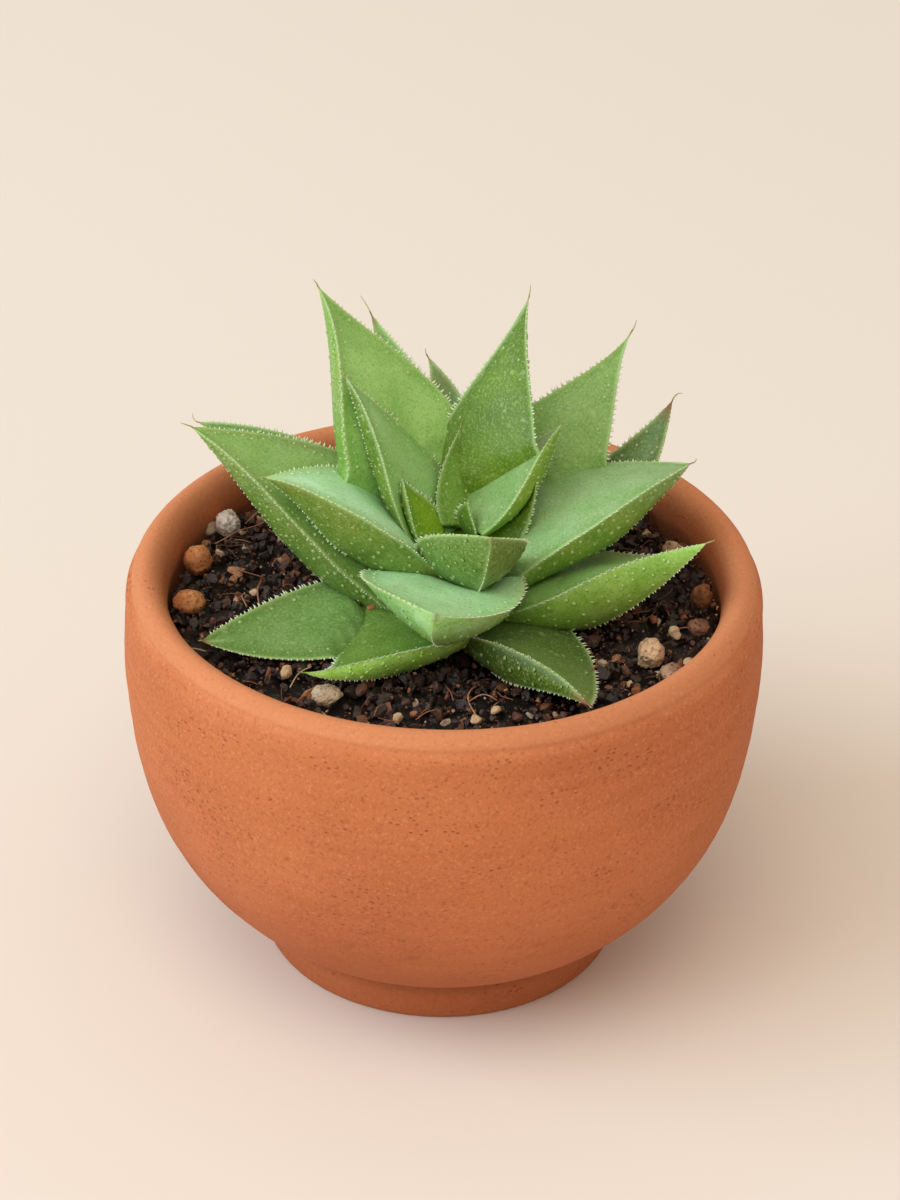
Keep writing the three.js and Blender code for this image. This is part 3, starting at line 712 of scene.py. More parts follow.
def leaf_section(line):
    """Side, height, nearness to a pale line and to the edge, and upper-face share of each point."""
    spread = np.cos(np.linspace(0, np.pi, UPPER_STEPS + 1))[None]
    half = line.half[:, None]
    upper_side = half * spread
    edge_rise = 0.1 * np.clip((abs(spread) - 0.86) / 0.14, 0, 1) ** 2
    upper_up = line.crown[:, None] * (1 - spread**2) + edge_rise * np.clip(half, 0, 1)
    share = (0.5 - 0.5 * np.cos(np.linspace(0, np.pi, FLANK_STEPS + 1)))[None]
    left_side, left_up = flank_curve(line, -1, share)
    right_side, right_up = flank_curve(line, 1, share[:, ::-1][:, 1:])
    lip_out = np.minimum(0.08, half * 0.2)
    thick = -np.minimum(EDGE_THICKNESS, line.depth * 0.4)[:, None] / 2
    side = np.hstack([upper_side, -half - lip_out, left_side, right_side, half + lip_out])
    up = np.hstack([upper_up, thick, left_up, right_up, thick])
    keel_side, keel_up = line.keel[:, None], -line.depth[:, None]
    to_edge = np.minimum(np.hypot(side - half, up), np.hypot(side + half, up))
    to_keel = np.hypot(side - keel_side, up - keel_up)
    ridged = np.clip((line.along[:, None] - 0.12) / 0.3, 0, 1)
    edge_line = np.exp(-(to_edge / RIM_WIDTH) ** 2)
    keel_line = ridged * 0.8 * np.exp(-(to_keel / KEEL_WIDTH) ** 2)
    rim = np.maximum(edge_line, keel_line)
    border = np.exp(-(to_edge / BORDER_WIDTH) ** 2)
    face = np.zeros(side.shape)
    face[:, : UPPER_STEPS + 1] = 1
    return side, up, rim, border, face


KEEL_COLUMN = UPPER_STEPS + 2 + FLANK_STEPS
AROUND = UPPER_STEPS + 1 + 1 + (FLANK_STEPS + 1) + FLANK_STEPS + 1
print("points round a section:", AROUND)

# %% [markdown]
# Leaves in a rosette press on each other while they grow, and an older leaf keeps the dent. Each
# leaf is therefore pushed down wherever it would lie inside a younger one, to just under the
# younger leaf's belly. The push is smoothed a little over the leaf, as flesh would be.

# %% Pressing older leaves under younger ones
PRESS_GAP = 0.1
PRESS_LIFT = 1.4
PRESS_ROUNDS = 6
BATCH = 2000


def belly_below(line, index, side):
    """How far a leaf reaches under its face, at that side of that station."""
    half, keel = line.half[index], line.keel[index]
    run = np.where(side > keel, half - keel, -half - keel)
    share = np.clip((side - keel) / run, 0, 1)
    return line.depth[index] * (1 - share**1.42) + EDGE_THICKNESS * (1 - share)


def local_place(line, points):
    """For each point: its nearest station, and its side, height and overrun there."""
    nearest = np.zeros(len(points), int)
    for start in range(0, len(points), BATCH):
        part = points[start:start + BATCH]
        away = ((part[:, None] - line.place[None]) ** 2).sum(-1)
        nearest[start:start + BATCH] = away.argmin(1)
    offset = points - line.place[nearest]
    side = (offset * line.across[nearest]).sum(1)
    up = (offset * line.above[nearest]).sum(1)
    over = (offset * line.forward[nearest]).sum(1)
    return nearest, side, up, over


def depth_inside(line, points, margin, lift):
    """How far each point must move down to leave the leaf, or 0 where it is clear of it."""
    nearest, side, up, over = local_place(line, points)
    beneath = belly_below(line, nearest, side) + margin
    within = (abs(side) < line.half[nearest] + margin) & (up < line.crown[nearest] + lift)
    within &= (up > -beneath) & (abs(over) < 1.0)
    return np.where(within, up + beneath, 0), line.above[nearest]


def press_under(grid, younger):
    """The grid of an older leaf, moved clear of every younger leaf, and how far each point went."""
    original = grid.copy()
    for line in younger:
        reach = line.leaf["wide"]
        low, high = line.place.min(0) - reach, line.place.max(0) + reach
        points = grid.reshape(-1, 3)
        near = np.where(((points > low) & (points < high)).all(axis=1))[0]
        if len(near) == 0:
            continue
        down, above = depth_inside(line, points[near], PRESS_GAP, PRESS_LIFT)
        points[near] -= above * down[:, None]
        grid = points.reshape(original.shape)
    moved = grid - original
    for _ in range(PRESS_ROUNDS):
        padded = np.concatenate([moved[:1], moved, moved[-1:]])
        soft = padded[:-2] + padded[2:] + np.roll(moved, 1, axis=1) + np.roll(moved, -1, axis=1)
        moved = moved * 0.6 + soft / 4 * 0.4
    return original + moved, np.linalg.norm(moved, axis=2)


print("an older leaf keeps", PRESS_GAP, "mm clear of a younger one")

# %% [markdown]
# The edges and the keel carry rows of small, pale, glassy teeth that lean towards the tip, and
# the skin carries low pale spots, in loose rows on the flanks and one row inside each edge of the
# face. Both are real shapes here. A tooth is a bent four-sided spike and a spot is a six-sided
# dome. They follow the pressed surface, and they are left out where a younger leaf lies on it. The
# dry hair at the tip is a thin tube that bends over.

# %% Teeth, spots and the hair
TOOTH_PITCH = 0.8
TOOTH_HEIGHT = 0.8
SPOT_ROWS = (0.12, 0.34, 0.56, 0.78)
SPOT_PITCH = 3.0
FACE_SPOT_INSET = 1.7
HAIR_POINTS = 10


def add_cone(heap, low_ring, high_ring, top, pale, **look):
    """A small closed shape on two rings and a top point, with a paleness for each of the three."""
    n = len(low_ring)
    faces = [(i, (i + 1) % n, n + (i + 1) % n, n + i) for i in range(n)]
    faces += [(n + i, n + (i + 1) % n, 2 * n) for i in range(n)]
    faces.append(tuple(range(n))[::-1])
    heap.add([*low_ring, *high_ring, top], faces, pale=np.repeat(pale, (n, n, 1)), **look)


def add_tooth(heap, base, outward, forward, sideways, height, width):
    rings = []
    for rise, share in ((-0.25, 1.0), (0.5, 0.62)):
        middle = base + outward * rise * height + forward * height * 0.22 * max(rise, 0)
        rings.append([middle + (forward * a * width + sideways * b * width * 0.6) * share
                      for a, b in ((1, 0), (0, 1), (-1, 0), (0, -1))])
    add_cone(heap, *rings, base + outward * height + forward * height * 0.5, (0.7, 0.9, 1.0))


def add_spot(heap, base, normal, forward, radius, look):
    sideways = np.cross(normal, forward)
    swings = [forward * math.cos(angle) + sideways * math.sin(angle)
              for angle in np.arange(6) * np.pi / 3]
    rings = [[base + normal * rise * radius + swing * radius * share for swing in swings]
             for rise, share in ((-0.1, 1.0), (0.22, 0.68))]
    add_cone(heap, *rings, base + normal * radius * 0.3, (0.0, 0.36, 0.5), **look)


def add_hair(heap, line, habit):
    """A thin dry tube on from the tip, bent sideways and up."""
    share = np.linspace(0, 1, HAIR_POINTS)[:, None]
    length, turn = habit["awn"], habit["bend"]
    path = line.place[-1] + line.forward[-1] * length * share * (1 - 0.25 * abs(turn) * share)
    swing = line.across[-1] * turn + line.above[-1] * abs(turn) * 0.6
    path = path + swing * length * 0.5 * share**2
    points, faces = tube(path, 0.04 + 0.12 * (1 - share[:, 0]) ** 0.8)
    heap.add(points, faces, along=1.0, pale=0.5, dry=np.repeat(0.35 + 0.3 * share[:, 0], 6))


# %% [markdown]
# The skin of a leaf is a grid, closed by a point at its heel and one at its tip. The values that
# the finish reads are set here: how far along, how near to a pale line, which face, how dry, and
# how light and blue. The skin can also be walked in uneven strides, from station to station, as
# the rows of teeth and spots need.


# %% A leaf's skin
class Skin:
    """One leaf's grid of points, pressed under the younger leaves, and what the finish reads."""

    def __init__(self, name, younger):
        self.leaf = leaf = LEAVES[name]
        self.habit = habit = {**COMMON, **HABITS[name]}
        rows = int(round(leaf["long"] / STATION_PITCH)) + 1
        self.stations = stations = 1 - (1 - np.linspace(0, 1, rows)) ** 1.15
        self.walked = stations * leaf["long"]
        self.line = line = LeafLine(leaf, stations)
        side, up, self.rim, self.border, self.face = leaf_section(line)
        wave = swell(np.outer(self.walked / 5, (1, 0, 0)), len(name))
        self.side = side * (1 + 0.02 * wave[:, None])
        grid = line.at(self.side, up)
        lumps = (0.12 * swell(grid.reshape(-1, 3) / 7, 9)).reshape(side.shape)
        grid = grid + line.above[:, None] * lumps[..., None]
        self.grid, self.moved = press_under(grid, younger)
        along, around = np.gradient(self.grid, axis=(0, 1))
        self.normals = unit(np.cross(around, along))
        # light and blue are painted light and shade for each side of the leaf.
        flank, face = habit["flank"], habit["face"]
        light, self.blue = (flank[k] + (face[k] - flank[k]) * self.face for k in (0, 1))
        # tip lightens the last part: painted light where the tip comes out of the shade.
        self.light = light * (1 + (habit["tip"] - 1) * stations[:, None] ** 4)

    def add_to(self, heap):
        line, habit, stations = self.line, self.habit, self.stations
        rows = len(stations)
        points = np.vstack([
            self.grid.reshape(-1, 3), line.place[:1] - line.above[:1] * self.leaf["deep"] * 0.2,
            line.place[-1:] + line.forward[-1:] * 0.15])
        heel, tip, last = rows * AROUND, rows * AROUND + 1, (rows - 1) * AROUND
        faces = ring_faces(rows, AROUND)
        faces += [(heel, (j + 1) % AROUND, j) for j in range(AROUND)]
        faces += [(tip, last + j, last + (j + 1) % AROUND) for j in range(AROUND)]
        browned = (stations - (1 - habit["dry"])) / (habit["dry"] + 0.01) + 0.3
        values = dict(
            along=stations[:, None], rim=self.rim, border=self.border, face=self.face,
            dry=(np.clip(browned, 0, 1) * (stations > 0.8))[:, None], light=self.light,
            blue=self.blue, blush=habit["blush"] * self.border, bloom=habit["bloom"] * self.face)
        spread = {key: np.append(np.broadcast_to(value, (rows, AROUND)).ravel(), [0, 0])
                  for key, value in values.items()}
        heap.add(points, faces, **spread)

    def walk(self, distance, end, pitch, uneven, luck, crowd=1):
        """The stations met from a distance up to a share of the leaf, in uneven strides."""
        while distance < self.leaf["long"] * end:
            i = int(np.searchsorted(self.walked, distance))
            distance += pitch * luck.uniform(*uneven) / crowd
            yield i


print("stations on the bud:", len(Skin("leaf_bud", []).stations))

# %% [markdown]
# Teeth stand along both edges and, smaller, along the outer half of the keel. Their size, lean and
# spacing are uneven. Spots are strewn in rows too. They keep off the thin parts of the leaf, and
# each takes the tone of the skin that it stands on.


# %% Rows on a skin
def row_of_teeth(heap, skin, luck, column, sign, first, height):
    """Teeth on an edge, where sign is 1 or -1, or on the keel, where it is 0."""
    line = skin.line
    for i in skin.walk(first * skin.leaf["long"], 0.965, TOOTH_PITCH, (0.78, 1.25), luck):
        if skin.moved[i, column] > 0.5:
            continue
        fullest = math.sin(math.pi * min(1, skin.stations[i] * 1.1))
        size = height * (0.6 + 0.4 * fullest) * luck.uniform(0.7, 1.2)
        size *= min(1, line.half[i] / 2.2 + 0.35)
        outward = line.across[i] * sign if sign else -line.above[i]
        sideways = line.above[i] if sign else line.across[i]
        base = skin.grid[i, column] - (line.above[i] * 0.15 if sign else 0)
        outward = outward + sideways * (luck.normal(0, 0.12) + 0.5 * abs(sign))
        add_tooth(heap, base, outward, line.forward[i], sideways, size, 0.22 + size * 0.12)


def row_of_spots(heap, skin, luck, column_at, pitch, smallest, largest):
    """Spots at the column that column_at picks for each station."""
    line, face = skin.line, skin.face[0]
    for i in skin.walk(luck.uniform(2, 6), 0.93, pitch, (0.5, 1.5), luck, skin.habit["spots"]):
        if line.depth[i] < 1.0 or line.half[i] < 2.5 or luck.random() < 0.25:
            continue
        column = column_at(i)
        if skin.moved[i, column] > 0.1:
            continue
        outward = skin.normals[i, column]
        centre = line.place[i] - line.above[i] * line.depth[i] * 0.35
        if (outward * (skin.grid[i, column] - centre)).sum() < 0:
            outward = -outward
        look = dict(along=skin.stations[i], face=face[column], light=skin.light[i, column],
                    blue=skin.blue[0, column], bloom=skin.habit["bloom"] * face[column])
        radius = luck.uniform(smallest, largest)
        add_spot(heap, skin.grid[i, column], outward, line.forward[i], radius, look)


# %% [markdown]
# One function now grows a whole leaf: the skin, three rows of teeth, four rows of spots on each
# flank, which wander, one row inside each edge of the face, and the hair. Its luck is seeded by
# its name and heading, so it grows the same on every run.


# %% Growing a leaf
def grow_leaf(name, younger, material):
    skin = Skin(name, younger)
    heap = Heap(along=0.5, rim=0.0, border=0.0, face=0.0, pale=0.0, dry=0.0, blush=0.0,
                light=1.0, blue=1.0, bloom=0.0)
    skin.add_to(heap)
    luck = np.random.default_rng(len(name) * 31 + int(skin.leaf["turn"]) + 400)
    row_of_teeth(heap, skin, luck, 0, 1, 0.1, TOOTH_HEIGHT)
    row_of_teeth(heap, skin, luck, UPPER_STEPS, -1, 0.1, TOOTH_HEIGHT)
    row_of_teeth(heap, skin, luck, KEEL_COLUMN, 0, 0.45, TOOTH_HEIGHT * 0.5)
    for sign, row in itertools.product((-1, 1), SPOT_ROWS):
        start = UPPER_STEPS + 2 if sign < 0 else AROUND - 2

        def on_flank(i):
            share = min(0.96, max(0.05, row + luck.normal(0, 0.05)))
            return start - sign * int(round(FLANK_STEPS * math.acos(1 - 2 * share) / math.pi))

        pitch = SPOT_PITCH * (0.6 if row == SPOT_ROWS[0] else 1)
        row_of_spots(heap, skin, luck, on_flank, pitch, 0.32, 0.6)
    for sign in (-1, 1):
        def inside_edge(i):
            target = sign * (skin.line.half[i] - FACE_SPOT_INSET * luck.uniform(0.6, 1.5))
            return int(abs(skin.side[i, : UPPER_STEPS + 1] - target).argmin())

        row_of_spots(heap, skin, luck, inside_edge, SPOT_PITCH * 0.75, 0.26, 0.5)
    add_hair(heap, skin.line, skin.habit)
    heap.make(name + "_fine", material, "leaf", [name])
    return skin.line


print("a leaf has", 2 * len(SPOT_ROWS) + 2, "rows of spots")

# %% [markdown]
# The leaf finish mixes two greens. The upper face is a cool blue-green with a thin waxy bloom
# and a painted sheen, and the flanks are a warmer yellow-green. The face is also painted lighter
# and the flanks darker, as lit and shaded sides, and each leaf's own light and shade is painted
# on top. Pale lines run along the edges and the keel, teeth and spots are nearly white, and the
# tip dries to brown. Attribute nodes bring in the values that were stored with the points, and
# soft noise keeps any of it from looking printed.


# %% Leaf skin
def leaf_finish():
    place, paint = new_finish("leaf_skin")
    along, face, border, light, blue, wax_and_sheen_share, blush, rim, pale, browned = map(place.attribute, (
        "along", "face", "border", "light", "blue", "bloom", "blush", "rim", "pale", "dry"))
    clouds = place.noise(120, 3).step(0.3, 0.7)
    grain = place.noise(2200, 3, 0.7)
    mottle = place.noise(380, 3, 0.6).step(0.3, 0.7)
    # The face green is lighter and the flank green darker: partly their own colours, partly painted
    # light and shade.
    upper = clouds.blend(srgb(124, 167, 94), srgb(148, 186, 122))
    lower = clouds.blend(srgb(100, 140, 34), srgb(121, 158, 52))
    base = 1 - along.step(0.0, 0.3)
    blotches = place.noise(60, 2).step(0.46, 0.66) * (1 - face)
    colour = face.blend(lower, upper).coats(
        (base * 0.2, 150, 170, 96), (blotches * 0.35, 146, 150, 66),
        (border * face * 0.55, 88, 140, 38), (mottle * 0.28, 160, 192, 114))
    # Wax on the face, partly a painted sheen where the face looks up to the sky.
    bloom = wax_and_sheen_share * place.noise(170, 3, 0.6).step(0.25, 0.7)
    flecks = (1 - place.cells(420).step(0.1, 0.3)) * place.noise(260, 1).step(0.45, 0.6)
    # Painted light and shade: light and blue lighten, darken and cool the colour of each side.
    colour = colour.through(light, light * 1.07, light * blue).coats(
        (bloom, 188, 200, 172), (flecks * 0.3, 190, 212, 150),
        (grain.step(0.5, 0.7) * 0.34, 200, 220, 160),
        ((1 - grain.step(0.3, 0.48)) * 0.46, 60, 98, 32),
        (blush * clouds * 0.6, 136, 84, 62), (rim * 0.62, 186, 217, 142))
    colour = pale.blend(colour, pale.blend(srgb(190, 220, 112), srgb(232, 241, 210)))
    dry = (browned + (place.noise(500, 2) - 0.5) * 0.5 * browned).clamp()
    relief = grain * 0.5 + mottle * 0.7 + place.noise(160, 2) * 0.8
    return paint(Base_Color=colour.coats((dry, 142, 92, 64)),
                 Roughness=0.36 + grain * 0.14 + dry * 0.25,
                 Normal=place.bump(relief, 0.16, 0.6), Specular_IOR_Level=0.45,
                 Subsurface_Weight=0.12, Subsurface_Radius=(0.6, 1.0, 0.3), Subsurface_Scale=0.0012)


leaf_skin = leaf_finish()
leaf_lines = []
for leaf_name in LEAVES:
    leaf_lines.append(grow_leaf(leaf_name, leaf_lines, leaf_skin))

# %% [markdown]
# The stem is a short root crown that the leaves wrap. Only slivers of it show between the leaf
# bases, where it is a dull and dry green.

# %% The stem
STEM_OUTLINE = [(0.05, -30), (1.6, -29), (3.6, -22), (5.6, -10), (6.6, 0), (6, 6), (3.6, 11),
                (1, 14.2), (0.05, 14.6)]
STEM_SIDES = 48


def stem_finish():
    place, paint = new_finish("stem_crown")
    rings = place.stretch(0.4, 0.4, 3).noise(300, 3).step(0.3, 0.7)
    colour = rings.blend(srgb(96, 104, 48), srgb(142, 156, 84))
    return paint(Base_Color=colour, Roughness=0.7 + rings * 0.15, Normal=place.bump(rings, 0.3))


stem_rows = smooth_curve(STEM_OUTLINE, 60)
stem_grid = turned(stem_rows, STEM_SIDES).reshape(-1, 3)
stem_grid[:, :2] *= (1 + 0.03 * swell(stem_grid * 0.8, 2))[:, None]
stem_faces = ring_faces(len(stem_rows), STEM_SIDES, capped=True)
make_piece("stem_crown", stem_grid + (STEM_X, 0, SOIL_HEIGHT), stem_faces, stem_finish(),
           "stem", ["stem"])

# %% [markdown]
# The soil is a dark, slightly moist potting mix. A closed bed fills the bowl, and its top dips
# round the stem in the same slow waves as the solid. The crumbs that make the real surface lie on
# it, so the bed itself only shows as shade between them.

# %% The soil bed
SOIL_RADIUS = 50.6
SOIL_SWELL = 0.9
SOIL_HOLLOW = 1.4
SOIL_SIDES = 190
SOIL_RINGS = 80
SOIL_GAP = 0.45
HOLLOW_INNER = 8
HOLLOW_OUTER = 36
EDGE_RUN = 3.6
BED_DROP = 1.7
STAND_IN = 99


def waves(x, y, phase):
    """The slow lumps of the solid's top: three crossed waves."""
    first = np.sin(1.31 * x + phase) * np.cos(1.13 * y - 0.7 * phase)
    second = np.sin(0.71 * y + 1.9 * phase)
    third = np.cos(0.53 * x - 0.61 * y + 0.4 * phase)
    return (first + second + third) / 2.2


def soil_top(x, y):
    """How high the solid's top is there: a shallow hollow round the stem, and slow lumps."""
    share = np.clip((np.hypot(x, y) - HOLLOW_INNER) / (HOLLOW_OUTER - HOLLOW_INNER), 0, 1)
    hollow = 1 - share * share * (3 - 2 * share)
    return SOIL_HEIGHT - SOIL_HOLLOW * hollow + SOIL_SWELL * waves(x * 0.42, y * 0.42, 2.1)


def soil_bed():
    """A closed body down to the bowl's floor. Its top rows get their height last."""
    wall = smooth_curve(BELLY_INSIDE, 14)[1:] + (-SOIL_GAP, SOIL_GAP)
    radii = np.linspace(SOIL_RADIUS, 0.05, SOIL_RINGS)
    top_rows = np.column_stack([radii, np.full(SOIL_RINGS, STAND_IN)])
    rows = np.vstack([[0.05, FLOOR_HEIGHT + SOIL_GAP], wall[::-1], top_rows])
    grid = turned(rows, SOIL_SIDES).reshape(-1, 3)
    top = grid[:, 2] == STAND_IN
    x, y = grid[top, 0], grid[top, 1]
    edge = np.clip((np.hypot(x, y) - (SOIL_RADIUS - EDGE_RUN)) / EDGE_RUN, 0, 1)
    height = soil_top(x, y) * (1 - edge) + (SOIL_HEIGHT - 0.3) * edge - BED_DROP
    flat = np.column_stack([x, y, x * 0])
    grid[top, 2] = height + 0.45 * swell(flat * 0.55, 21) + 0.3 * swell(flat * 1.5, 22)
    return grid, ring_faces(len(rows), SOIL_SIDES, capped=True)


# %% [markdown]
# One soil finish serves the bed and the crumbs. Each crumb carries a tint number, and a colour
# ramp turns it into near-black peat, brown bark, reddish bark, tan grit or grey grit. Moist peat
# has a dull sheen, so its roughness is lower than that of the grit.

# %% Soil
PEAT, BARK, RUST, TAN, ASH = 0.1, 0.4, 0.58, 0.76, 0.95


def soil_finish():
    place, paint = new_finish("potting_soil")
    tint = place.attribute("tint")
    grain = place.noise(1600, 3, 0.7)
    stops = [(0.0, srgb(22, 14, 12)), (0.22, srgb(56, 36, 28)), (0.4, srgb(98, 61, 44)),
             (0.58, srgb(152, 90, 56)), (0.76, srgb(206, 172, 134)), (1.0, srgb(168, 152, 136))]
    colour = place.node("ShaderNodeValToRGB", {"stops": stops}, {0: tint + (grain - 0.5) * 0.3})
    dust = place.noise(420, 2).step(0.5, 0.72)
    colour = (dust * 0.16).blend(colour, srgb(128, 92, 70))
    relief = place.noise(1300, 4, 0.7) + place.noise(480, 2) * 0.6
    roughness = 0.38 + tint * 0.4 + grain * 0.2
    return paint(Base_Color=colour, Roughness=roughness, Normal=place.bump(relief, 0.3, 0.9),
                 Specular_IOR_Level=0.5)


potting_soil = soil_finish()
bed_points, bed_faces = soil_bed()
# The bed takes the darkest peat tint, which also paints the shade deep between the crumbs.
make_piece("soil_bed", bed_points, bed_faces, potting_soil, "potting_soil", ["soil"],
           values={"tint": np.zeros(len(bed_points))})

# %% [markdown]
# A crumb starts as a ball whose sides are cut flat by a few random planes, which gives the broken
# faces of peat and bark. A dozen such prototypes, turned and squeezed, never look alike. The ball
# is an icosahedron whose triangles are split in four as often as the size on screen needs.


# %% Prototype crumbs
def ball(level):
    """A unit ball of triangles: an icosahedron, split level times."""
    g = (1 + 5**0.5) / 2
    points = [(-1, g, 0), (1, g, 0), (-1, -g, 0), (1, -g, 0), (0, -1, g), (0, 1, g),
              (0, -1, -g), (0, 1, -g), (g, 0, -1), (g, 0, 1), (-g, 0, -1), (-g, 0, 1)]
    faces = [(0, 11, 5), (0, 5, 1), (0, 1, 7), (0, 7, 10), (0, 10, 11), (1, 5, 9), (5, 11, 4),
             (11, 10, 2), (10, 7, 6), (7, 1, 8), (3, 9, 4), (3, 4, 2), (3, 2, 6), (3, 6, 8),
             (3, 8, 9), (4, 9, 5), (2, 4, 11), (6, 2, 10), (8, 6, 7), (9, 8, 1)]
    points = [np.array(p, float) / math.hypot(*p) for p in points]
    for _ in range(level):
        middles = {}
        split = []
        for a, b, c in faces:
            mids = []
            for pair in ((a, b), (b, c), (c, a)):
                key = tuple(sorted(pair))
                if key not in middles:
                    middle = points[pair[0]] + points[pair[1]]
                    points.append(middle / np.linalg.norm(middle))
                    middles[key] = len(points) - 1
                mids.append(middles[key])
            ab, bc, ca = mids
            split += [(a, ab, ca), (b, bc, ab), (c, ca, bc), (ab, bc, ca)]
        faces = split
    return np.array(points), faces


def clod(level, planes, luck, deepest=0.36, lumps=0.2):
    """A ball with flat broken sides and a few lumps."""
    points, faces = ball(level)
    for _ in range(planes):
        way = luck.normal(size=3)
        way /= np.linalg.norm(way)
        over = np.clip(points @ way - luck.uniform(deepest, deepest + 0.36), 0, None)
        points = points - over[:, None] * way
    return points * (1 + lumps * swell(points * 2.1 + luck.uniform(0, 50, 3)))[:, None], faces


def random_turn(luck):
    """A random rotation matrix."""
    turn, _ = np.linalg.qr(luck.normal(size=(3, 3)))
    return turn * np.sign(np.linalg.det(turn))


PROTOTYPES = 12
crumb_luck = np.random.default_rng(5)
CLODS = {level: [clod(level, 8, crumb_luck) for _ in range(PROTOTYPES)] for level in (0, 1)}
print("clod triangles:", {level: len(shapes[0][1]) for level, shapes in CLODS.items()})

# %% [markdown]
# Crumbs lie where the soil is free: not in a stone, not in the wall, and under a leaf rather than
# in it. Big crumbs come first and the small ones fill in between. A few are pressed deeper, so
# that the surface has pockets.

# %% Scattering crumbs
STONES = [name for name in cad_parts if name.startswith(("pumice", "clay_grain", "lava"))]
TINTS = (PEAT, BARK, RUST, TAN, ASH)
TINT_SHARES = {
    "large": (0.76, 0.17, 0.04, 0.02, 0.01), "medium": (0.72, 0.2, 0.06, 0.01, 0.01),
    "small": (0.5, 0.34, 0.11, 0.04, 0.01)}
# Per size: how often the ball is split, how many crumbs, and the smallest and largest half-width.
CRUMB_SIZES = {
    "large": (1, 1150, 1.0, 2.1), "medium": (1, 1900, 0.55, 1.1), "small": (0, 3800, 0.25, 0.55)}
SCATTER_RADIUS = 51.7
HEIGHT_SPREAD = 0.9
DEEPEST_DROP = 2.5


def stone_box(name):
    """The middle and the half sizes of a stone's solid."""
    low, high = (np.array(corner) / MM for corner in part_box(name))
    return (low + high) / 2, (high - low) / 2


def free_height(x, y, z, size):
    """The height at which each crumb lies clear of the leaves, and whether it is clear at all."""
    points = np.column_stack([x, y, z])
    for line in leaf_lines:
        nearest, side, up, over = local_place(line, points)
        beneath = belly_below(line, nearest, side) + size * 0.8
        hit = (abs(side) < line.half[nearest] + size * 0.5) & (up > -beneath)
        hit &= (up < line.crown[nearest] + size * 1.2) & (abs(over) < 1.5)
        points[:, 2] -= np.where(hit, np.clip(up + beneath, 0, 6), 0)
    clear = z - points[:, 2] < DEEPEST_DROP
    for name in STONES:
        middle, half = stone_box(name)
        clear &= np.hypot(x - middle[0], y - middle[1]) > half[0] * 0.85 + size * 0.5
    return points[:, 2], clear


def scatter_crumbs(name, level, count, smallest, largest):
    luck = np.random.default_rng(40 + count)
    size = luck.uniform(smallest, largest, count)
    angle = luck.uniform(0, 2 * np.pi, count)
    radius = np.sqrt(luck.uniform(0.02, 1, count)) * (SCATTER_RADIUS - size * 0.8)
    x, y = radius * np.cos(angle), radius * np.sin(angle)
    z = soil_top(x, y) + luck.uniform(-HEIGHT_SPREAD, HEIGHT_SPREAD, count) - size * 0.2
    z, clear = free_height(x, y, z, size)
    heap = Heap(tint=PEAT)
    for i in np.where(clear)[0]:
        points, faces = CLODS[level][luck.integers(PROTOTYPES)]
        squeeze = luck.uniform((0.8, 0.7, 0.55), (1.25, 1.0, 0.85))
        points = (points * squeeze * size[i]) @ random_turn(luck).T + (x[i], y[i], z[i])
        tint = luck.choice(TINTS, p=TINT_SHARES[name]) + luck.uniform(-0.08, 0.1)
        heap.add(points, faces, tint=tint)
    heap.make("soil_crumbs_" + name, potting_soil, "potting_soil", smooth=False)


for crumb_name, settings in CRUMB_SIZES.items():
    scatter_crumbs(crumb_name, *settings)

# %% [markdown]
# On top of the crumbs lie the odd pieces that the eye picks out: pebbles, reddish root fibres and
# a few pale rootlets. The notable ones have places of their own, as do some dry brown scales
# between the leaves. More fibres are strewn at random.

# %% Pebbles, fibres and scales
PEBBLES = [
    (-42.9, 13.7, 2.3, TAN), (-45.9, 24.7, 3.5, ASH), (42.6, -11.8, 3.0, TAN),
    (38.9, -6.8, 1.9, RUST), (45.2, -19.8, 2.8, TAN), (40.9, -22.3, 1.8, ASH),
    (49.0, 3.4, 2.6, RUST), (-35.7, 1.4, 1.8, TAN), (-34.3, -12.1, 1.9, TAN),
    (-28.4, -27.3, 2.9, TAN), (-7.9, -38.7, 2.1, TAN), (-14.7, -32.5, 2.9, BARK),
    (6.1, -40.5, 2.4, TAN), (9.5, -37.6, 2.1, TAN), (33.8, -27.5, 1.7, TAN), (-31, 33, 2.2, ASH),
]
FIBRES = [
    [(-38.8, 26.8), (-36.5, 29), (-34.3, 32.6)], [(-44.1, 18.1), (-39.5, 22), (-34.4, 27.3)],
    [(-34.6, 5.7), (-35, 0), (-34, -6.6)], [(-37.6, 1), (-37.8, -2), (-36.7, -4.6)],
    [(32.5, 38.6), (34, 34.5), (34.2, 30.3)], [(6, -29.6), (4.6, -34.2), (6.4, -39.9)],
    [(4.6, -34.2), (7.5, -33.6), (9.8, -34.7)],
]
ROOTLETS = [
    [(-47.8, -20), (-46.4, -18.2), (-43.3, -18.5)], [(-24, -24.5), (-26, -27), (-27.5, -31)]]
SCALES = [
    (4.0, 2.3, 88, 1.5), (-4.2, 30.7, 90, 1.4), (-13.4, -11.6, 78, 2.0), (13.9, -10.8, 80, 1.6)]
FIBRE_TINT, ROOTLET_TINT = 0.63, 0.8
STREWN_FIBRES = 130
PEBBLE_LIFT = 0.85
PATH_POINTS = 12
FIBRE_HEIGHT = 0.9
odd_luck = np.random.default_rng(77)


def lying_path(corners, lift):
    """A curve through places on the soil, arched a little off it."""
    flat = smooth_curve(corners, PATH_POINTS)
    arch = lift * np.sin(np.linspace(0, np.pi, PATH_POINTS)) + FIBRE_HEIGHT
    return np.column_stack([flat, soil_top(flat[:, 0], flat[:, 1]) + arch])


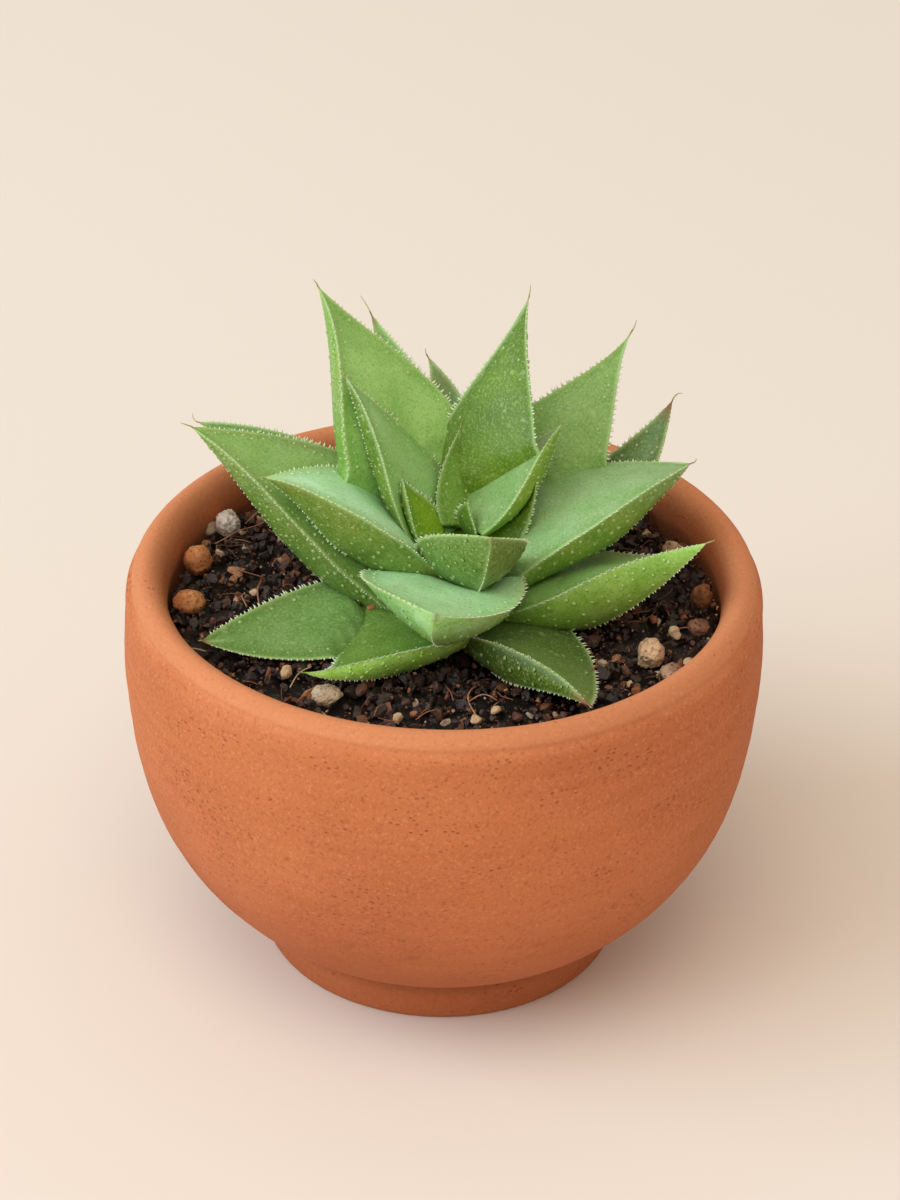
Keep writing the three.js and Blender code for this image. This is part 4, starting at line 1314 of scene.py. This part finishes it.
def strew_fibres(heap, count):
    for _ in range(count):
        angle = odd_luck.uniform(0, 2 * np.pi)
        radius = 50 * math.sqrt(odd_luck.uniform(0.3, 0.98))
        start = np.array([radius * math.cos(angle), radius * math.sin(angle)])
        heading = odd_luck.uniform(0, 2 * np.pi)
        step = np.array([math.cos(heading), math.sin(heading)]) * odd_luck.uniform(1, 2.6)
        corners = [start, start + step + odd_luck.normal(0, 0.5, 2), start + step * 2]
        if max(np.linalg.norm(corner) for corner in corners) < 50.5:
            path = lying_path(corners, odd_luck.uniform(0, 0.9))
            shape = tube(path, odd_luck.uniform(0.06, 0.13), 5)
            heap.add(*shape, tint=odd_luck.choice([RUST, BARK]))


def odd_clod(squeeze, size):
    """A finer clod, squeezed, brought to size and turned at random."""
    points, faces = clod(2, 6, odd_luck, 0.55)
    return (points * squeeze * size) @ random_turn(odd_luck).T, faces


odds = Heap(tint=BARK)
for x, y, wide, tint in PEBBLES:
    tint = tint + odd_luck.uniform(-0.03, 0.03)
    points, faces = odd_clod((1, 0.85, 0.75), wide / 2)
    odds.add(points + (x, y, soil_top(x, y) + wide / 2 * PEBBLE_LIFT), faces, tint=tint)
for corners in FIBRES:
    odds.add(*tube(lying_path(corners, 0.9), 0.14, 5), tint=FIBRE_TINT)
for corners in ROOTLETS:
    odds.add(*tube(lying_path(corners, 0.5), 0.13, 5), tint=ROOTLET_TINT)
for x, y, z, wide in SCALES:
    points, faces = odd_clod((1, 0.7, 0.3), wide / 2)
    odds.add(points + (x, y, z), faces, tint=RUST)
strew_fibres(odds, STREWN_FIBRES)
odds.make("soil_odds", potting_soil, "potting_soil")

# %% [markdown]
# The larger grains were chosen for drainage: white pumice, orange fired clay and dark red lava.
# Pumice is a froth of glass, so it is pale, pocked and angular. Clay grains are nearly round, with
# a dusty skin. Each fine stone fills the box of its solid and a tenth more, as it is rounder.


# %% Stones
def stone_finish(name, light, dark, speck, pock_size):
    place, paint = new_finish(name)
    clouds = place.noise(260, 3).step(0.32, 0.68)
    pores = 1 - place.cells(pock_size).step(0.08, 0.32)
    colour = clouds.blend(srgb(*light), srgb(*dark)).coats(
        (place.noise(900, 2, 0.7).step(0.5, 0.72) * 0.5, *speck))
    colour = (pores * 0.55).blend(colour, tuple(c * 0.35 for c in srgb(*speck)))
    relief = place.noise(1100, 4, 0.65) - pores * 0.8
    return paint(Base_Color=colour, Roughness=0.8 + clouds * 0.12,
                 Normal=place.bump(relief, 0.25, 0.8))


# Per kind: its slot, pocks per metre, flat sides, how near they are cut, and how rough it is.
KINDS = {"pumice": ("pumice", 950, 7, 0.7, 0.10),
         "clay_grain": ("baked_clay_grain", 1300, 3, 0.82, 0.045),
         "lava": ("lava_grain", 1000, 6, 0.62, 0.08)}
STONE_GROWTH = 1.1
# Per stone: the light, dark and speck tones of its finish.
STONE_TONES = {
    "pumice_left": ((232, 218, 204), (184, 166, 152), (120, 98, 88)),
    "pumice_right": ((222, 186, 148), (190, 150, 114), (120, 84, 60)),
    "pumice_front": ((216, 194, 164), (178, 152, 124), (120, 92, 70)),
    "pumice_rear": ((214, 196, 176), (176, 156, 136), (120, 98, 82)),
    "pumice_chip": ((212, 182, 146), (174, 142, 108), (124, 92, 66)),
    "clay_grain_left": ((202, 130, 76), (160, 94, 52), (100, 60, 38)),
    "clay_grain_left_low": ((208, 140, 86), (172, 104, 60), (108, 66, 42)),
    "clay_grain_right": ((160, 102, 54), (118, 70, 40), (76, 47, 31)),
    "clay_grain_rear": ((190, 122, 74), (150, 88, 52), (100, 60, 40)),
    "lava_right": ((150, 102, 78), (112, 74, 56), (68, 46, 36)),
    "lava_small_right": ((182, 146, 118), (144, 108, 86), (92, 66, 52)),
    "lava_rear": ((150, 100, 76), (112, 70, 54), (74, 48, 38)),
}


def make_stone(name, index):
    kind = next(key for key in KINDS if name.startswith(key))
    slot, pock_size, planes, deepest, rough = KINDS[kind]
    material = stone_finish(name + "_skin", *STONE_TONES[name], pock_size)
    middle, half = stone_box(name)
    points, faces = clod(4, planes, np.random.default_rng(200 + index), deepest, 0.08)
    dents = rough * swell(points * 3.1, index)
    grain = rough * 0.6 * swell(points * 7.5, index + 9)
    points *= (1 + dents + grain)[:, None]
    points = points / abs(points).max(axis=0) * half * STONE_GROWTH + middle
    make_piece(name + "_fine", points, faces, material, slot, [name])


for index, stone_name in enumerate(STONES):
    make_stone(stone_name, index)
print("stones:", len(STONES))

# %% [markdown]
# The floor is one wide sheet, so that no edge shows from any side, and the sky has the same pale
# tone. The bowl is modelled from light to dark by one broad window on the left, a little cooler
# than the warm room round it, which also casts the soft shadow to the right. A second soft box high
# in front keeps the soil and the floor before the bowl from going dull.

# %% Floor and light
FLOOR_SIZE = 12.0


def floor_finish():
    place, paint = new_finish("studio_floor")
    drift = place.noise(0.8, 1).step(0.3, 0.7)
    colour = drift.blend(srgb(237, 227, 217), srgb(238, 226, 216))
    return paint(Base_Color=colour, Roughness=0.9, Specular_IOR_Level=0.1)


def make_floor():
    mesh = bpy.data.meshes.new("studio_floor")
    half = FLOOR_SIZE / 2
    corners = [(-half, -half, 0), (half, -half, 0), (half, half, 0), (-half, half, 0)]
    mesh.from_pydata(corners, [], [(0, 1, 2, 3)])
    mesh.materials.append(floor_finish())
    sheet = add_object("studio_floor", mesh)
    sheet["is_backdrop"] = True


def soft_box(name, place, aim, size, power, tint):
    data = bpy.data.lights.new(name, "AREA")
    data.shape, data.size, data.energy, data.color = "DISK", size, power, tint
    add_object(name, data, looking(place, aim))


make_floor()
world = bpy.data.worlds.new("studio")
bpy.context.scene.world = world
world.use_nodes = True
sky = world.node_tree.nodes["Background"]
sky.inputs["Color"].default_value = (1.0, 0.89, 0.75, 1)
sky.inputs["Strength"].default_value = 0.6
soft_box("window_light", (-2.15, -0.65, 1.36), (0, 0, 0.06), 2.4, 51, (0.7, 0.87, 1.0))
soft_box("top_light", (-0.32, -1.18, 2.36), (0, 0, 0.06), 2.0, 22, (1.0, 0.92, 0.8))

# %% [markdown]
# The visual model has to stay in the box of the solids, so both boxes are kept for comparison.

# %% Finish
dressed_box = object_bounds()
sizes = {"cad": [list(corner) for corner in cad_box], "visual": [list(corner) for corner in dressed_box]}
print("visual box:", sizes["visual"])
